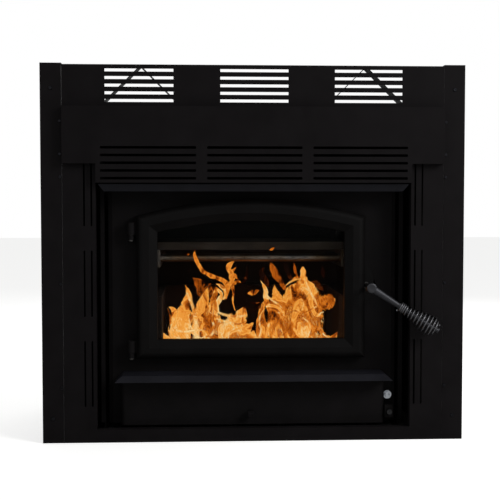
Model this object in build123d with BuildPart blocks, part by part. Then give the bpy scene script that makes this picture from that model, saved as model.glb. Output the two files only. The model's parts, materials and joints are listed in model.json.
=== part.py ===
from build123d import *
from math import asin, cos, degrees, pi, radians, sin, sqrt
import os

os.makedirs("parts", exist_ok=True)

# Zero clearance fireplace, millimetres. X runs to the viewer's right, Y runs back into the wall and
# Z is up. The origin is on the floor, on the centre line, in the plane of the face.

# Face
face_width = 1030
face_height = 920
strip_width = 51
sheet = 1.5
seam_gap = 0.5
grille_drop = 3
rail_height = 32
rail_depth = 30
panel_gap = 3
panel_return = 22
leg_depth = 40
fixing_radius = 3
fixing_height = 800
fixing_from_edge = 25
standoff_x = 276
standoff_gap = 1
standoff_deep = 50
standoff_foot = 20

# Upper grille and header louvres
grille_slot = (165, 7)
grille_pitch = 18.2
grille_groups = 278
grille_first = 13.5
slot_rows = 5
header_drop = 101
header_forward = 22
header_ear_height = 137
header_height = 183
header_edge_gap = 2
louvre_slot = (229, 6)
louvre_pitch = 18.4
louvre_groups = 256
louvre_last = 10.7
side_slot = (160, 4)
side_slot_columns = (10, 27.5)
side_slot_below_ear = 70
side_slot_pitch = 220

# Casing, insulation and convection jacket
top_clearance = 120
casing_depth = 600
insulation = 25
jacket_gap = 11
jacket_sheet = 1.2
plenum_drop = 60
jacket_depth = 480
jacket_flange = 9
service_hole_radius = 52
service_hole = (250, 120)

# Stove front plate and firebox
plate_y = 80
plate = 6
plate_x = 361
hood_gap = 3
plate_bevel = 10
opening_half = 240
opening_bottom = 237
wall = 6
firebox_underside = 82
lid_drop = 24
brick_thick = 32
brick_width = 114
brick_length = 229
brick_gap = 0.5
bricks_wide = 4
bricks_deep = 3
floor_bricks = (4, 3)
air_port = 12
baffle_drop = 144
baffle_thick = 20
baffle_front = 190
tube_radius = 11
tube_wall = 1.5
tube_drop = 22
tube_first = 212
tube_pitch = 85
tube_count = 3
tube_holes = 14
tube_hole_pitch = 32
tube_hole_radius = 2.5
manifold_width = 26
manifold_height = 44
flue_radius = 76.5
flue_wall = 3
flue_y = 330
flue_stub = 45
rail_x = 200
rail_width = 40

# Hood, ash shelf and lower panel
hood_overhang = 6
hood_taper = 13
hood_drop = 17.5
hood_front = -5
shelf_inset = 6
shelf_flare = 16
shelf_drop = 14
shelf_rise = 19
shelf_front = 6
control_bay = 31
lower_top = 143
lower_front = 48
lower_round = 12
tray_sheet = 2

# Door
door_x = -5
door_half = 285
door_bottom = 197
crown_drop = 38
arch_rise = 39.6
band = 52
band_bottom = 48
door_front = 38
door_gap = 2
door_round = 18
door_slope = 20
glass_thick = 5
glass_lap = 13
glass_play = 1
gasket_thick = 3
rope_inset = 23
rope_width = 9
rope_groove = 6
clip_length = 26
clip_overlap = 4
clip_pitch = 120
latch_past_edge = 5
latch_lift = 2.3
ear_radius = 72
ear_inset = 53
ear_lift = 4
ear_thick = 12

# Hinges
hinge_past_edge = 13
hinge_forward = 25
hinge_radius = 10
hinge_pin = 5
pin_head = 3
knuckle_height = 30
knuckle_low_inset = 15
knuckle_high_inset = 46.4
lug_radius = 7.5
lug_height = 12
lug_gap = 1
running = 0.08

# Handle
shaft_radius = 6
bushing_wall = 3
boss_radius = 13
boss_y = (-24, 0)
lever_down = 33
lever_out = 9
lever_radii = (11, 7.2)
core_radius = 5.5
seat_radius = 9.3
coil_from = 79
coil_length = 110
wire_radius = 2
coil_big = 24.5
coil_close = 14
coil_seat = 0.3
coil_tight = 3.5
coil_swell = 8
coil_closing = 2
coil_pitches = (4.7, 9.1, 8)
coil_step = 0.001
cap_radius = 8
cap_thick = 3
cam_reach = 25
cam_width = 10
cam_thick = 6
latch_swing = 75
latch_closed = -60
latch_hole = 13

# Air control, fan control and thermostat
air_x = -7
air_z = 61
rod_radius = 4
knob_size = 15
knob_length = 15
knob_front = 24
air_travel = 55
intake = (120, 125, 30)
damper_play = 0.5
control_box = (21, 34, 30)
control_height = 61
dial_radius = 7
dial_length = 9
stat_radius = 12
stat_lift = 23
stat_disc = 7

# Blower
blower_z = 54
blower_wall = 1.2
housing_width = 66
housing_gap = 8
motor_radius = 34
motor_length = 62
rotor_radius = 36
rotor_inlet = 27
rotor_shaft = 4
rotor_blades = 20
rotor_blade = 8
housing_clear = 3

# Screws
screw_radius = 4
screw_head = 2
screw_heights = (135, 389, 647, 702, 781)
clear = 0.3

# Places that follow from the sizes above
seam_x = face_width / 2 - strip_width
panel_x = seam_x - seam_gap
screw_x = seam_x + screw_radius + seam_gap
grille_top = face_height - grille_drop
header_top = grille_top - header_drop
header_x = panel_x - header_edge_gap
header_ear_z = header_top - header_ear_height
header_low = header_top - header_height
casing_height = face_height - top_clearance
jacket_height = casing_height - plenum_drop
jacket_x = plate_x + jacket_gap
panel_inner_x = jacket_x + jacket_flange + panel_gap
header_inner_x = panel_inner_x - header_edge_gap
jacket_back = plate_y + plate + jacket_depth
flue_top = casing_height + flue_stub

plate_back = plate_y + plate
plate_top = header_low - hood_gap
half_width = bricks_wide * (brick_width + brick_gap) / 2 + brick_thick
inner_depth = bricks_deep * (brick_width + brick_gap) + brick_thick
firebox_x = half_width + wall
firebox_back = plate_back + inner_depth
firebox_floor = firebox_underside + wall
firebox_top = plate_top - lid_drop
brick_floor = firebox_floor + brick_thick
brick_top = brick_floor + brick_length
baffle_underside = firebox_top - baffle_drop
tube_z = baffle_underside - tube_drop

lower_half = plate_x - control_bay
shelf_half = lower_half - shelf_inset
shelf_top = lower_top + shelf_rise
hood_half = jacket_x + hood_overhang

door_right = door_x + door_half
door_left = door_x - door_half
door_back = plate_y - door_gap
door_side_top = plate_top - crown_drop - arch_rise
arch_radius = (door_half**2 + arch_rise**2) / (2 * arch_rise)
arch_z = door_side_top + arch_rise - arch_radius
window_half = door_half - band
window_bottom = door_bottom + band_bottom
window_radius = arch_radius - band
latch_x = door_right + latch_past_edge
latch_z = (door_bottom + door_side_top) / 2 + latch_lift
ear_x = latch_x - ear_inset
ear_z = latch_z + ear_lift
hinge_x = door_left - hinge_past_edge
hinge_y = plate_y - hinge_forward
knuckle_z = (door_bottom + knuckle_low_inset, door_side_top - knuckle_high_inset)
coil_small = seat_radius + wire_radius + clear
control_x = lower_half + seam_gap + control_box[0] / 2


# A plane facing the viewer at depth y, with X across and Z up; a negative extrusion goes back.
def facing(y):
    return Plane.XZ.offset(-y)


# A block between two corners, in the part being built.
def block(x, y, z, mode=Mode.ADD):
    with Locations(((x[0] + x[1]) / 2, (y[0] + y[1]) / 2, (z[0] + z[1]) / 2)):
        Box(x[1] - x[0], y[1] - y[0], z[1] - z[0], mode=mode)


# The door's outline, straight at the sides and bottom and arched at the top, grown or shrunk by margin.
def arched(half, bottom, radius):
    side_top = arch_z + sqrt(radius**2 - half**2)
    with BuildSketch() as outline:
        with BuildLine():
            Polyline((door_x - half, side_top), (door_x - half, bottom), (door_x + half, bottom),
                     (door_x + half, side_top))
            ThreePointArc((door_x + half, side_top), (door_x, arch_z + radius), (door_x - half, side_top))
        make_face()
    return outline.sketch


# The arched ring around the window, between two margins measured outwards from the window's edge.
def window_ring(inner, outer):
    with BuildSketch() as ring:
        add(arched(window_half + outer, window_bottom - outer, window_radius + outer))
        add(arched(window_half + inner, window_bottom - inner, window_radius + inner), mode=Mode.SUBTRACT)
    return ring.sketch


# Base pan with upturned edges, the lowest piece, which stands on the floor.
pan_front = rail_depth + clear
with BuildPart() as base_pan:
    block((-seam_x + sheet, seam_x - sheet), (pan_front, casing_depth - sheet), (0, sheet))
    for side in (-1, 1):
        edge = sorted((side * (seam_x - sheet), side * (seam_x - 2 * sheet)))
        block(edge, (pan_front, casing_depth - sheet), (sheet, insulation))
    block((-seam_x + 2 * sheet, seam_x - 2 * sheet), (casing_depth - 2 * sheet, casing_depth - sheet),
          (sheet, insulation))
base_pan.part.label = "base_pan"
export_step(base_pan.part, "parts/base_pan.step")

# Casing: two sides, a back with the outside air and cable knock-out, and a top with the flue hole.
with BuildPart() as casing_left:
    block((-seam_x, -seam_x + sheet), (sheet, casing_depth), (0, casing_height - sheet))
casing_left.part.label = "casing_left"
export_step(casing_left.part, "parts/casing_left.step")

with BuildPart() as casing_right:
    block((seam_x - sheet, seam_x), (sheet, casing_depth), (0, casing_height - sheet))
casing_right.part.label = "casing_right"
export_step(casing_right.part, "parts/casing_right.step")

with BuildPart() as casing_back:
    block((-seam_x + sheet, seam_x - sheet), (casing_depth - sheet, casing_depth),
          (0, casing_height - sheet))
    with Locations(facing(casing_depth)):
        with Locations(service_hole):
            Hole(service_hole_radius)
casing_back.part.label = "casing_back"
export_step(casing_back.part, "parts/casing_back.step")

casing_hole = flue_radius + flue_wall + insulation
with BuildPart() as casing_top:
    block((-seam_x, seam_x), (sheet, casing_depth), (casing_height - sheet, casing_height))
    block((-seam_x, seam_x), (sheet, 2 * sheet), (casing_height, casing_height + insulation))
    with Locations((0, flue_y, casing_height)):
        Cylinder(casing_hole, 4 * sheet, mode=Mode.SUBTRACT)
casing_top.part.label = "casing_top"
export_step(casing_top.part, "parts/casing_top.step")

# Rigid mineral wool boards inside the casing: left, right and back in one group, and the top.
board_x = seam_x - 2 * sheet
board_back = casing_depth - 2 * sheet
with BuildPart() as insulation_walls:
    for side in (-1, 1):
        board = sorted((side * board_x, side * (board_x - insulation)))
        block(board, (pan_front, board_back), (sheet, casing_height - sheet - insulation))
    rear_board = board_x - insulation - clear
    block((-rear_board, rear_board), (board_back - insulation, board_back),
          (sheet, casing_height - sheet - insulation))
    with Locations((service_hole[0], board_back, service_hole[1])):
        Cylinder(service_hole_radius, 4 * insulation, rotation=(90, 0, 0), mode=Mode.SUBTRACT)
insulation_walls.part.label = "insulation_walls"
export_step(insulation_walls.part, "parts/insulation_walls.step")

with BuildPart() as insulation_top:
    block((-board_x, board_x), (pan_front, board_back),
          (casing_height - sheet - insulation, casing_height - sheet))
    with Locations((0, flue_y, casing_height - insulation)):
        Cylinder(casing_hole, 4 * insulation, mode=Mode.SUBTRACT)
insulation_top.part.label = "insulation_top"
export_step(insulation_top.part, "parts/insulation_top.step")

# Nailing strips: an L section down each side of the face, with fixing holes near the corners.
fixing_x = face_width / 2 - fixing_from_edge
strips = {}
for name, side in (("nailing_strip_left", -1), ("nailing_strip_right", 1)):
    with BuildPart() as nailing_strip:
        block(sorted((side * seam_x, side * face_width / 2)), (0, sheet), (0, face_height))
        block(sorted((side * seam_x, side * (seam_x + sheet))), (sheet, leg_depth), (0, face_height))
        with Locations(facing(0)):
            with Locations((side * fixing_x, (face_height - fixing_height) / 2),
                           (side * fixing_x, (face_height + fixing_height) / 2)):
                Hole(fixing_radius)
            with Locations(*[(side * screw_x, screw_z) for screw_z in screw_heights]):
                Hole(screw_radius / 2)
    nailing_strip.part.label = name
    export_step(nailing_strip.part, f"parts/{name}.step")

# Upper grille panel: flat sheet with three groups of slots, a return along its top and its lower
# part hidden behind the header.
grille_low = jacket_height
with BuildPart() as grille_panel:
    block((-panel_x, panel_x), (0, sheet), (grille_low, grille_top))
    block((-panel_x, panel_x), (sheet, panel_return), (grille_top - sheet, grille_top))
    grille_mid = grille_top - grille_first - (slot_rows - 1) / 2 * grille_pitch
    with BuildSketch(facing(0)):
        with Locations((0, grille_mid)):
            with GridLocations(grille_groups, grille_pitch, 3, slot_rows):
                Rectangle(*grille_slot)
    extrude(amount=-2 * sheet, mode=Mode.SUBTRACT)
grille_panel.part.label = "grille_panel"
export_step(grille_panel.part, "parts/grille_panel.step")

# Header panel: a shallow T-shaped box standing forward of the face, with louvres over the hot air
# outlet and small tabs on its top edge.
header_front = -header_forward
with BuildPart() as header_panel:
    with BuildSketch(facing(header_front)):
        with BuildLine():
            Polyline((-header_x, header_top), (-header_x, header_ear_z), (-header_inner_x, header_ear_z),
                     (-header_inner_x, header_low), (header_inner_x, header_low), (header_inner_x,
                                                                                   header_ear_z),
                     (header_x, header_ear_z), (header_x, header_top), close=True)
        make_face()
    extrude(amount=-header_forward)
    back_face = header_panel.faces().sort_by(Axis.Y)[-1]
    offset(amount=-sheet, openings=back_face, kind=Kind.INTERSECTION)
    louvre_mid = header_low + louvre_last + (slot_rows - 1) / 2 * louvre_pitch
    with BuildSketch(facing(header_front)):
        with Locations((0, louvre_mid)):
            with GridLocations(louvre_groups, louvre_pitch, 3, slot_rows):
                Rectangle(*louvre_slot)
    extrude(amount=-2 * sheet, mode=Mode.SUBTRACT)
    for tab_x in (-header_inner_x, 0):
        block((tab_x - 4, tab_x + 4), (header_front, header_front + sheet), (header_top, header_top + 3))
header_panel.part.label = "header_panel"
export_step(header_panel.part, "parts/header_panel.step")

# Side panels with six narrow upright slots each and a return along the opening.
for name, side in (("side_panel_left", -1), ("side_panel_right", 1)):
    with BuildPart() as side_panel:
        block(sorted((side * panel_inner_x, side * panel_x)), (0, sheet), (rail_height, grille_low))
        block(sorted((side * panel_inner_x, side * (panel_inner_x + sheet))), (sheet, panel_return),
              (rail_height, header_low))
        for column in side_slot_columns:
            for row in (-1, 0, 1):
                slot_x = side * (panel_inner_x + column)
                slot_z = header_ear_z - side_slot_below_ear + (row - 1) * side_slot_pitch
                block((slot_x - side_slot[1] / 2, slot_x + side_slot[1] / 2), (-sheet, 2 * sheet),
                      (slot_z - side_slot[0] / 2, slot_z + side_slot[0] / 2), mode=Mode.SUBTRACT)
    side_panel.part.label = name
    export_step(side_panel.part, f"parts/{name}.step")

# Bottom rail: a channel along the floor, with its foot on the floor and a return at the top.
with BuildPart() as bottom_rail:
    block((-panel_x, panel_x), (0, sheet), (0, rail_height))
    block((-seam_x + 2 * sheet, seam_x - 2 * sheet), (sheet, rail_depth), (0, sheet))
    block((-seam_x + 2 * sheet, seam_x - 2 * sheet), (sheet, panel_return),
          (rail_height - sheet, rail_height))
bottom_rail.part.label = "bottom_rail"
export_step(bottom_rail.part, "parts/bottom_rail.step")

# A-shaped standoffs on the casing top: a bent strip each, with feet, that keep the framing away.
standoff_apex = face_height - 2
standoff_front = panel_return + standoff_gap
for name, side in (("top_standoff_left", -1), ("top_standoff_right", 1)):
    apex_x = side * standoff_x
    rise = standoff_apex - casing_height
    with BuildPart() as top_standoff:
        with BuildSketch(facing(standoff_front)):
            with BuildLine():
                Polyline((apex_x - rise - standoff_foot, casing_height), (apex_x - rise, casing_height),
                         (apex_x, standoff_apex - sheet), (apex_x + rise, casing_height),
                         (apex_x + rise + standoff_foot, casing_height))
                offset(amount=sheet, side=Side.LEFT, closed=True)
            make_face()
        extrude(amount=-standoff_deep)
    top_standoff.part.label = name
    export_step(top_standoff.part, f"parts/{name}.step")

# Convection jacket: room air rises between it and the firebox, and leaves through the louvres.
# Its cheeks and top reach forward to the face over the hood, round the hot air outlet.
for name, side in (("jacket_left", -1), ("jacket_right", 1)):
    with BuildPart() as jacket:
        jacket_wall = sorted((side * (jacket_x - jacket_sheet), side * jacket_x))
        block(jacket_wall, (plate_back - jacket_sheet, jacket_back), (sheet, jacket_height - jacket_sheet))
        block(jacket_wall, (sheet, plate_back), (plate_top, jacket_height - jacket_sheet))
        block(sorted((side * jacket_x, side * (jacket_x + jacket_flange))),
              (plate_back - jacket_sheet, plate_back),
              (rail_height, plate_top))
    jacket.part.label = name
    export_step(jacket.part, f"parts/{name}.step")

with BuildPart() as jacket_rear:
    block((-jacket_x + jacket_sheet, jacket_x - jacket_sheet), (jacket_back - jacket_sheet, jacket_back),
          (sheet, jacket_height - jacket_sheet))
jacket_rear.part.label = "jacket_back"
export_step(jacket_rear.part, "parts/jacket_back.step")

with BuildPart() as jacket_top:
    block((-jacket_x, jacket_x), (sheet, jacket_back), (jacket_height - jacket_sheet, jacket_height))
    with Locations((0, flue_y, jacket_height)):
        Cylinder(flue_radius + flue_wall + clear, 4 * jacket_sheet, mode=Mode.SUBTRACT)
jacket_top.part.label = "jacket_top"
export_step(jacket_top.part, "parts/jacket_top.step")

# Stove front plate with bevelled sides, the arched firebox opening, the latch keyhole and the
# holes for the air control rod. The latch cam passes the keyhole only with the handle lifted.
keyhole_angle = latch_closed + latch_swing
with BuildPart() as front_plate:
    block((-plate_x, plate_x), (plate_y, plate_back), (rail_height, plate_top))
    side_edges = front_plate.faces().sort_by(Axis.Y)[0].edges().filter_by(Axis.Z)
    front_face = front_plate.faces().sort_by(Axis.Y)[0]
    chamfer(side_edges, length=plate_bevel, length2=plate * 0.6, reference=front_face)
    with BuildSketch(facing(plate_y)):
        add(arched(opening_half, opening_bottom, window_radius + opening_half - window_half))
        with Locations((latch_x, latch_z)):
            Circle(latch_hole)
        with Locations(Location((latch_x, latch_z), keyhole_angle)):
            with Locations(((cam_reach + clear) / 2, 0)):
                Rectangle(cam_reach + clear, cam_width + 2)
        with Locations((air_x, air_z)):
            Circle(rod_radius + clear)
    extrude(amount=-plate, mode=Mode.SUBTRACT)
front_plate.part.label = "front_plate"
export_step(front_plate.part, "parts/front_plate.step")

# Firebox: bottom, sides, back and a top with the flue hole, welded to the front plate.
air_port_y = plate_back + 2 * brick_thick
with BuildPart() as firebox_bottom:
    block((-firebox_x, firebox_x), (plate_back, firebox_back + wall), (firebox_underside, firebox_floor))
    with Locations((air_x, air_port_y, firebox_floor)):
        Cylinder(air_port, 4 * wall, mode=Mode.SUBTRACT)
firebox_bottom.part.label = "firebox_bottom"
export_step(firebox_bottom.part, "parts/firebox_bottom.step")

with BuildPart() as firebox_sides:
    for side in (-1, 1):
        block(sorted((side * half_width, side * firebox_x)), (plate_back, firebox_back),
              (firebox_floor, firebox_top - wall))
firebox_sides.part.label = "firebox_sides"
export_step(firebox_sides.part, "parts/firebox_sides.step")

with BuildPart() as firebox_rear:
    block((-firebox_x, firebox_x), (firebox_back, firebox_back + wall), (firebox_floor, firebox_top - wall))
firebox_rear.part.label = "firebox_back"
export_step(firebox_rear.part, "parts/firebox_back.step")

with BuildPart() as firebox_lid:
    block((-firebox_x, firebox_x), (plate_back, firebox_back + wall), (firebox_top - wall, firebox_top))
    with Locations((0, flue_y, firebox_top)):
        Cylinder(flue_radius, 4 * wall, mode=Mode.SUBTRACT)
firebox_lid.part.label = "firebox_top"
export_step(firebox_lid.part, "parts/firebox_top.step")

# Support rails: two channels between the base pan and the firebox.
with BuildPart() as support_rails:
    for rail_side in (-rail_x, rail_x):
        rail_span = (rail_side - rail_width / 2, rail_side + rail_width / 2)
        rail_run = (plate_back + brick_thick, firebox_back)
        block(rail_span, rail_run, (sheet, firebox_underside))
        block((rail_span[0] + 2 * sheet, rail_span[1]), rail_run,
              (3 * sheet, firebox_underside - 2 * sheet), mode=Mode.SUBTRACT)
support_rails.part.label = "support_rails"
export_step(support_rails.part, "parts/support_rails.step")

# Firebricks: the floor is a grid cut to fit; the walls are whole bricks standing on it.
floor_size = (2 * half_width, inner_depth - clear)
floor_pitch = (floor_size[0] / floor_bricks[0], floor_size[1] / floor_bricks[1])
with BuildPart() as firebricks_floor:
    with Locations((0, plate_back + inner_depth / 2, (firebox_floor + brick_floor) / 2)):
        with GridLocations(floor_pitch[0], floor_pitch[1], floor_bricks[0], floor_bricks[1]):
            Box(floor_pitch[0] - brick_gap, floor_pitch[1] - brick_gap, brick_thick)
    with Locations((air_x, air_port_y, brick_floor)):
        Cylinder(air_port, 4 * brick_thick, mode=Mode.SUBTRACT)
firebricks_floor.part.label = "firebricks_floor"
export_step(firebricks_floor.part, "parts/firebricks_floor.step")

brick_pitch = brick_width + brick_gap
with BuildPart() as firebricks_sides:
    for side in (-1, 1):
        for row in range(bricks_deep):
            brick_y = plate_back + row * brick_pitch
            block(sorted((side * (half_width - brick_thick), side * half_width)),
                  (brick_y, brick_y + brick_width), (brick_floor, brick_top))
firebricks_sides.part.label = "firebricks_sides"
export_step(firebricks_sides.part, "parts/firebricks_sides.step")

with BuildPart() as firebricks_back:
    for column in range(bricks_wide):
        brick_x = (column - bricks_wide / 2) * brick_pitch + brick_gap / 2
        block((brick_x, brick_x + brick_width), (firebox_back - brick_thick, firebox_back),
              (brick_floor, brick_top))
firebricks_back.part.label = "firebricks_back"
export_step(firebricks_back.part, "parts/firebricks_back.step")

# Secondary air: a box manifold along each side, pierced tubes between them and the baffle on top.
manifold_back = firebox_back - brick_gap
manifold_inner = half_width - manifold_width
with BuildPart() as air_manifolds:
    for side in (-1, 1):
        block(sorted((side * manifold_inner, side * half_width)),
              (baffle_front - brick_thick, manifold_back),
              (baffle_underside - manifold_height, baffle_underside))
        block(sorted((side * (manifold_inner + 2 * sheet), side * (half_width - 2 * sheet))),
              (baffle_front - brick_thick + 2 * sheet, manifold_back - 2 * sheet),
              (baffle_underside - manifold_height + 2 * sheet,
               baffle_underside - 2 * sheet), mode=Mode.SUBTRACT)
    for row in range(tube_count):
        with Locations((0, tube_first + row * tube_pitch, tube_z)):
            Cylinder(tube_radius - tube_wall, 2 * manifold_inner + 4 * sheet, rotation=(0, 90, 0),
                     mode=Mode.SUBTRACT)
air_manifolds.part.label = "air_manifolds"
export_step(air_manifolds.part, "parts/air_manifolds.step")

with BuildPart() as air_tubes:
    for row in range(tube_count):
        tube_y = tube_first + row * tube_pitch
        with Locations((0, tube_y, tube_z)):
            Cylinder(tube_radius, 2 * manifold_inner, rotation=(0, 90, 0))
            Cylinder(tube_radius - tube_wall, 2 * manifold_inner, rotation=(0, 90, 0), mode=Mode.SUBTRACT)
        with Locations((0, tube_y - tube_radius, tube_z)):
            with GridLocations(tube_hole_pitch, 1, tube_holes, 1):
                Cylinder(tube_hole_radius, tube_radius, rotation=(90, 0, 0), mode=Mode.SUBTRACT)
air_tubes.part.label = "secondary_air_tubes"
export_step(air_tubes.part, "parts/secondary_air_tubes.step")

with BuildPart() as baffle_board:
    block((-half_width + brick_gap, half_width - brick_gap), (baffle_front, manifold_back),
          (baffle_underside, baffle_underside + baffle_thick))
baffle_board.part.label = "baffle_board"
export_step(baffle_board.part, "parts/baffle_board.step")

# Flue outlet with its welding flange, and the anchor plate that closes the casing round it.
flue_outer = flue_radius + flue_wall
with BuildPart() as flue_outlet:
    with Locations((0, flue_y, firebox_top)):
        Cylinder(flue_outer, flue_top - firebox_top, align=(Align.CENTER, Align.CENTER, Align.MIN))
        Cylinder(flue_outer + 4 * flue_wall, wall, align=(Align.CENTER, Align.CENTER, Align.MIN))
        Cylinder(flue_radius, flue_top - firebox_top, align=(Align.CENTER, Align.CENTER, Align.MIN),
                 mode=Mode.SUBTRACT)
flue_outlet.part.label = "flue_outlet"
export_step(flue_outlet.part, "parts/flue_outlet.step")

with BuildPart() as anchor_plate:
    with Locations((0, flue_y, casing_height)):
        Cylinder(casing_hole + insulation, sheet, align=(Align.CENTER, Align.CENTER, Align.MIN))
        Cylinder(flue_outer + clear + sheet, insulation, align=(Align.CENTER, Align.CENTER, Align.MIN))
        Cylinder(flue_outer + clear, insulation, align=(Align.CENTER, Align.CENTER, Align.MIN),
                 mode=Mode.SUBTRACT)
anchor_plate.part.label = "chimney_anchor_plate"
export_step(anchor_plate.part, "parts/chimney_anchor_plate.step")


# A tray of folded sheet that widens from one level to the other, open underneath, against the
# front plate. The half widths and front edges are given at the low and the high level.
def flared_tray(low_z, low_half, low_front, high_z, high_half, high_front):
    under = high_z - tray_sheet
    share = (under - low_z) / (high_z - low_z)
    under_half = low_half + share * (high_half - low_half)
    under_front = low_front + share * (high_front - low_front)
    outside = ((low_z, low_half, low_front), (high_z, high_half, high_front))
    inside = ((low_z, low_half, low_front), (under, under_half, under_front))
    with BuildPart() as tray:
        for levels, inset, mode in ((outside, 0, Mode.ADD), (inside, tray_sheet, Mode.SUBTRACT)):
            for level, half, front in levels:
                with BuildSketch(Plane.XY.offset(level)):
                    with Locations((0, (front + inset + plate_y) / 2)):
                        Rectangle(2 * (half - inset), plate_y - front - inset)
            loft(mode=mode)
    return tray.part


hood_low = plate_top - hood_drop
hood_deflector = flared_tray(hood_low, hood_half - hood_taper, hood_front + hood_taper, plate_top,
                             hood_half, hood_front)
hood_deflector.label = "hood_deflector"
export_step(hood_deflector, "parts/hood_deflector.step")

ash_shelf = flared_tray(shelf_top - shelf_drop, shelf_half + shelf_flare, shelf_front - shelf_flare,
                        shelf_top, shelf_half, shelf_front)
ash_shelf.label = "ash_shelf"
export_step(ash_shelf, "parts/ash_shelf.step")

# Lower panel: a cover with rounded upright edges, open at the back, with the air control's hole.
with BuildPart() as lower_panel:
    block((-lower_half, lower_half), (lower_front, plate_y), (rail_height, lower_top))
    fillet(lower_panel.faces().sort_by(Axis.Y)[0].edges().filter_by(Axis.Z), radius=lower_round)
    offset(amount=-tray_sheet, openings=lower_panel.faces().sort_by(Axis.Y)[-1])
    with Locations(facing(lower_front)):
        with Locations((air_x, air_z)):
            Hole(rod_radius + clear, depth=2 * tray_sheet)
lower_panel.part.label = "lower_panel"
export_step(lower_panel.part, "parts/lower_panel.step")

# Door frame: an arched ring with a rounded outside, a sloping inside and mitred corners. Its back
# has a rebate for the glass and a groove for the rope; an ear at the right carries the latch.
glass_seat = door_back - glass_thick - gasket_thick
rope_margin = band - rope_inset
clip_outer = rope_margin - rope_width / 2 - clear
clip_margin = (glass_lap - clip_overlap + clip_outer) / 2
clip_reach = clip_outer - clip_margin
clip_places = []
for clip_side in (-1, 1):
    clip_x = door_x + clip_side * (window_half + clip_margin)
    for clip_z in (window_bottom + clip_pitch / 2, window_bottom + clip_pitch * 3 / 2):
        clip_places.append(Location((clip_x, clip_z), 90))
    clip_places.append(Location((door_x + clip_side * clip_pitch, window_bottom - clip_margin), 0))
    lean = asin(clip_side * clip_pitch / window_radius)
    arc = window_radius + clip_margin
    clip_places.append(Location((door_x + arc * sin(lean), arch_z + arc * cos(lean)), -degrees(lean)))

with BuildPart() as door_frame:
    with BuildSketch(facing(door_front)):
        add(arched(door_half, door_bottom, arch_radius))
        add(arched(window_half, window_bottom, window_radius), mode=Mode.SUBTRACT)
    extrude(amount=door_front - door_back)
    fillet(door_frame.faces().sort_by(Axis.Y)[0].outer_wire().edges(), radius=door_round)
    front_face = door_frame.faces().sort_by(Axis.Y)[0]
    chamfer(front_face.inner_wires()[0].edges(), length=door_slope, length2=door_slope * 0.7,
            reference=front_face)
    with BuildSketch(facing(door_back - ear_thick)):
        with Locations((ear_x, ear_z)):
            Circle(ear_radius)
        with Locations((door_right - door_round - 2 * ear_radius, ear_z)):
            Rectangle(4 * ear_radius, 3 * ear_radius, mode=Mode.SUBTRACT)
    extrude(amount=-ear_thick)
    with BuildSketch(facing(glass_seat)):
        margin = glass_lap + glass_play
        add(arched(window_half + margin, window_bottom - margin, window_radius + margin))
    extrude(amount=glass_seat - door_back, mode=Mode.SUBTRACT)
    with BuildSketch(facing(door_back - rope_groove)):
        add(window_ring(rope_margin - rope_width / 2, rope_margin + rope_width / 2))
    extrude(amount=-rope_groove, mode=Mode.SUBTRACT)
    with BuildSketch(facing(door_front)):
        with Locations((latch_x, latch_z)):
            Circle(shaft_radius + bushing_wall)
    extrude(amount=door_front - door_back, mode=Mode.SUBTRACT)
door_frame.part.label = "door_frame"
export_step(door_frame.part, "parts/door_frame.step")

# Ceramic glass, its flat gasket, the clips that hold it and the rope that seals the door.
with BuildPart() as door_glass:
    with BuildSketch(facing(door_back - glass_thick)):
        add(arched(window_half + glass_lap, window_bottom - glass_lap, window_radius + glass_lap))
    extrude(amount=-glass_thick)
door_glass.part.label = "door_glass"
export_step(door_glass.part, "parts/door_glass.step")

with BuildPart() as glass_gasket:
    with BuildSketch(facing(glass_seat)):
        add(window_ring(glass_play, glass_lap))
    extrude(amount=-gasket_thick)
glass_gasket.part.label = "glass_gasket"
export_step(glass_gasket.part, "parts/glass_gasket.step")

with BuildPart() as glass_retainers:
    with BuildSketch(facing(door_back)):
        with Locations(*clip_places):
            RectangleRounded(clip_length, 2 * clip_reach, sheet)
    extrude(amount=-sheet)
glass_retainers.part.label = "glass_retainers"
export_step(glass_retainers.part, "parts/glass_retainers.step")

with BuildPart() as door_gasket:
    with BuildSketch(facing(door_back - rope_groove)):
        add(window_ring(rope_margin - rope_width / 2 + clear, rope_margin + rope_width / 2 - clear))
    extrude(amount=-(rope_groove + door_gap - clear))
door_gasket.part.label = "door_gasket"
export_step(door_gasket.part, "parts/door_gasket.step")

# Hinges at the left: lugs on the front plate, headed pins, and knuckles on the door's edge.
with BuildPart() as hinge_lugs:
    for knuckle_low in knuckle_z:
        lug_top = knuckle_low - lug_gap
        with Locations((hinge_x, hinge_y, lug_top)):
            Cylinder(lug_radius, lug_height, align=(Align.CENTER, Align.CENTER, Align.MAX))
        block((hinge_x - lug_radius, hinge_x + lug_radius), (hinge_y, plate_y),
              (lug_top - lug_height, lug_top))
        with Locations((hinge_x, hinge_y, lug_top)):
            Cylinder(hinge_pin + running, 4 * lug_height, mode=Mode.SUBTRACT)
hinge_lugs.part.label = "hinge_lugs"
export_step(hinge_lugs.part, "parts/hinge_lugs.step")

with BuildPart() as hinge_pins:
    for knuckle_low in knuckle_z:
        lug_low = knuckle_low - lug_gap - lug_height
        with Locations((hinge_x, hinge_y, lug_low - pin_head)):
            Cylinder(lug_radius - 1, pin_head, align=(Align.CENTER, Align.CENTER, Align.MIN))
            Cylinder(hinge_pin, pin_head + lug_height + lug_gap + knuckle_height - 2 * pin_head,
                     align=(Align.CENTER, Align.CENTER, Align.MIN))
hinge_pins.part.label = "hinge_pins"
export_step(hinge_pins.part, "parts/hinge_pins.step")

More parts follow.
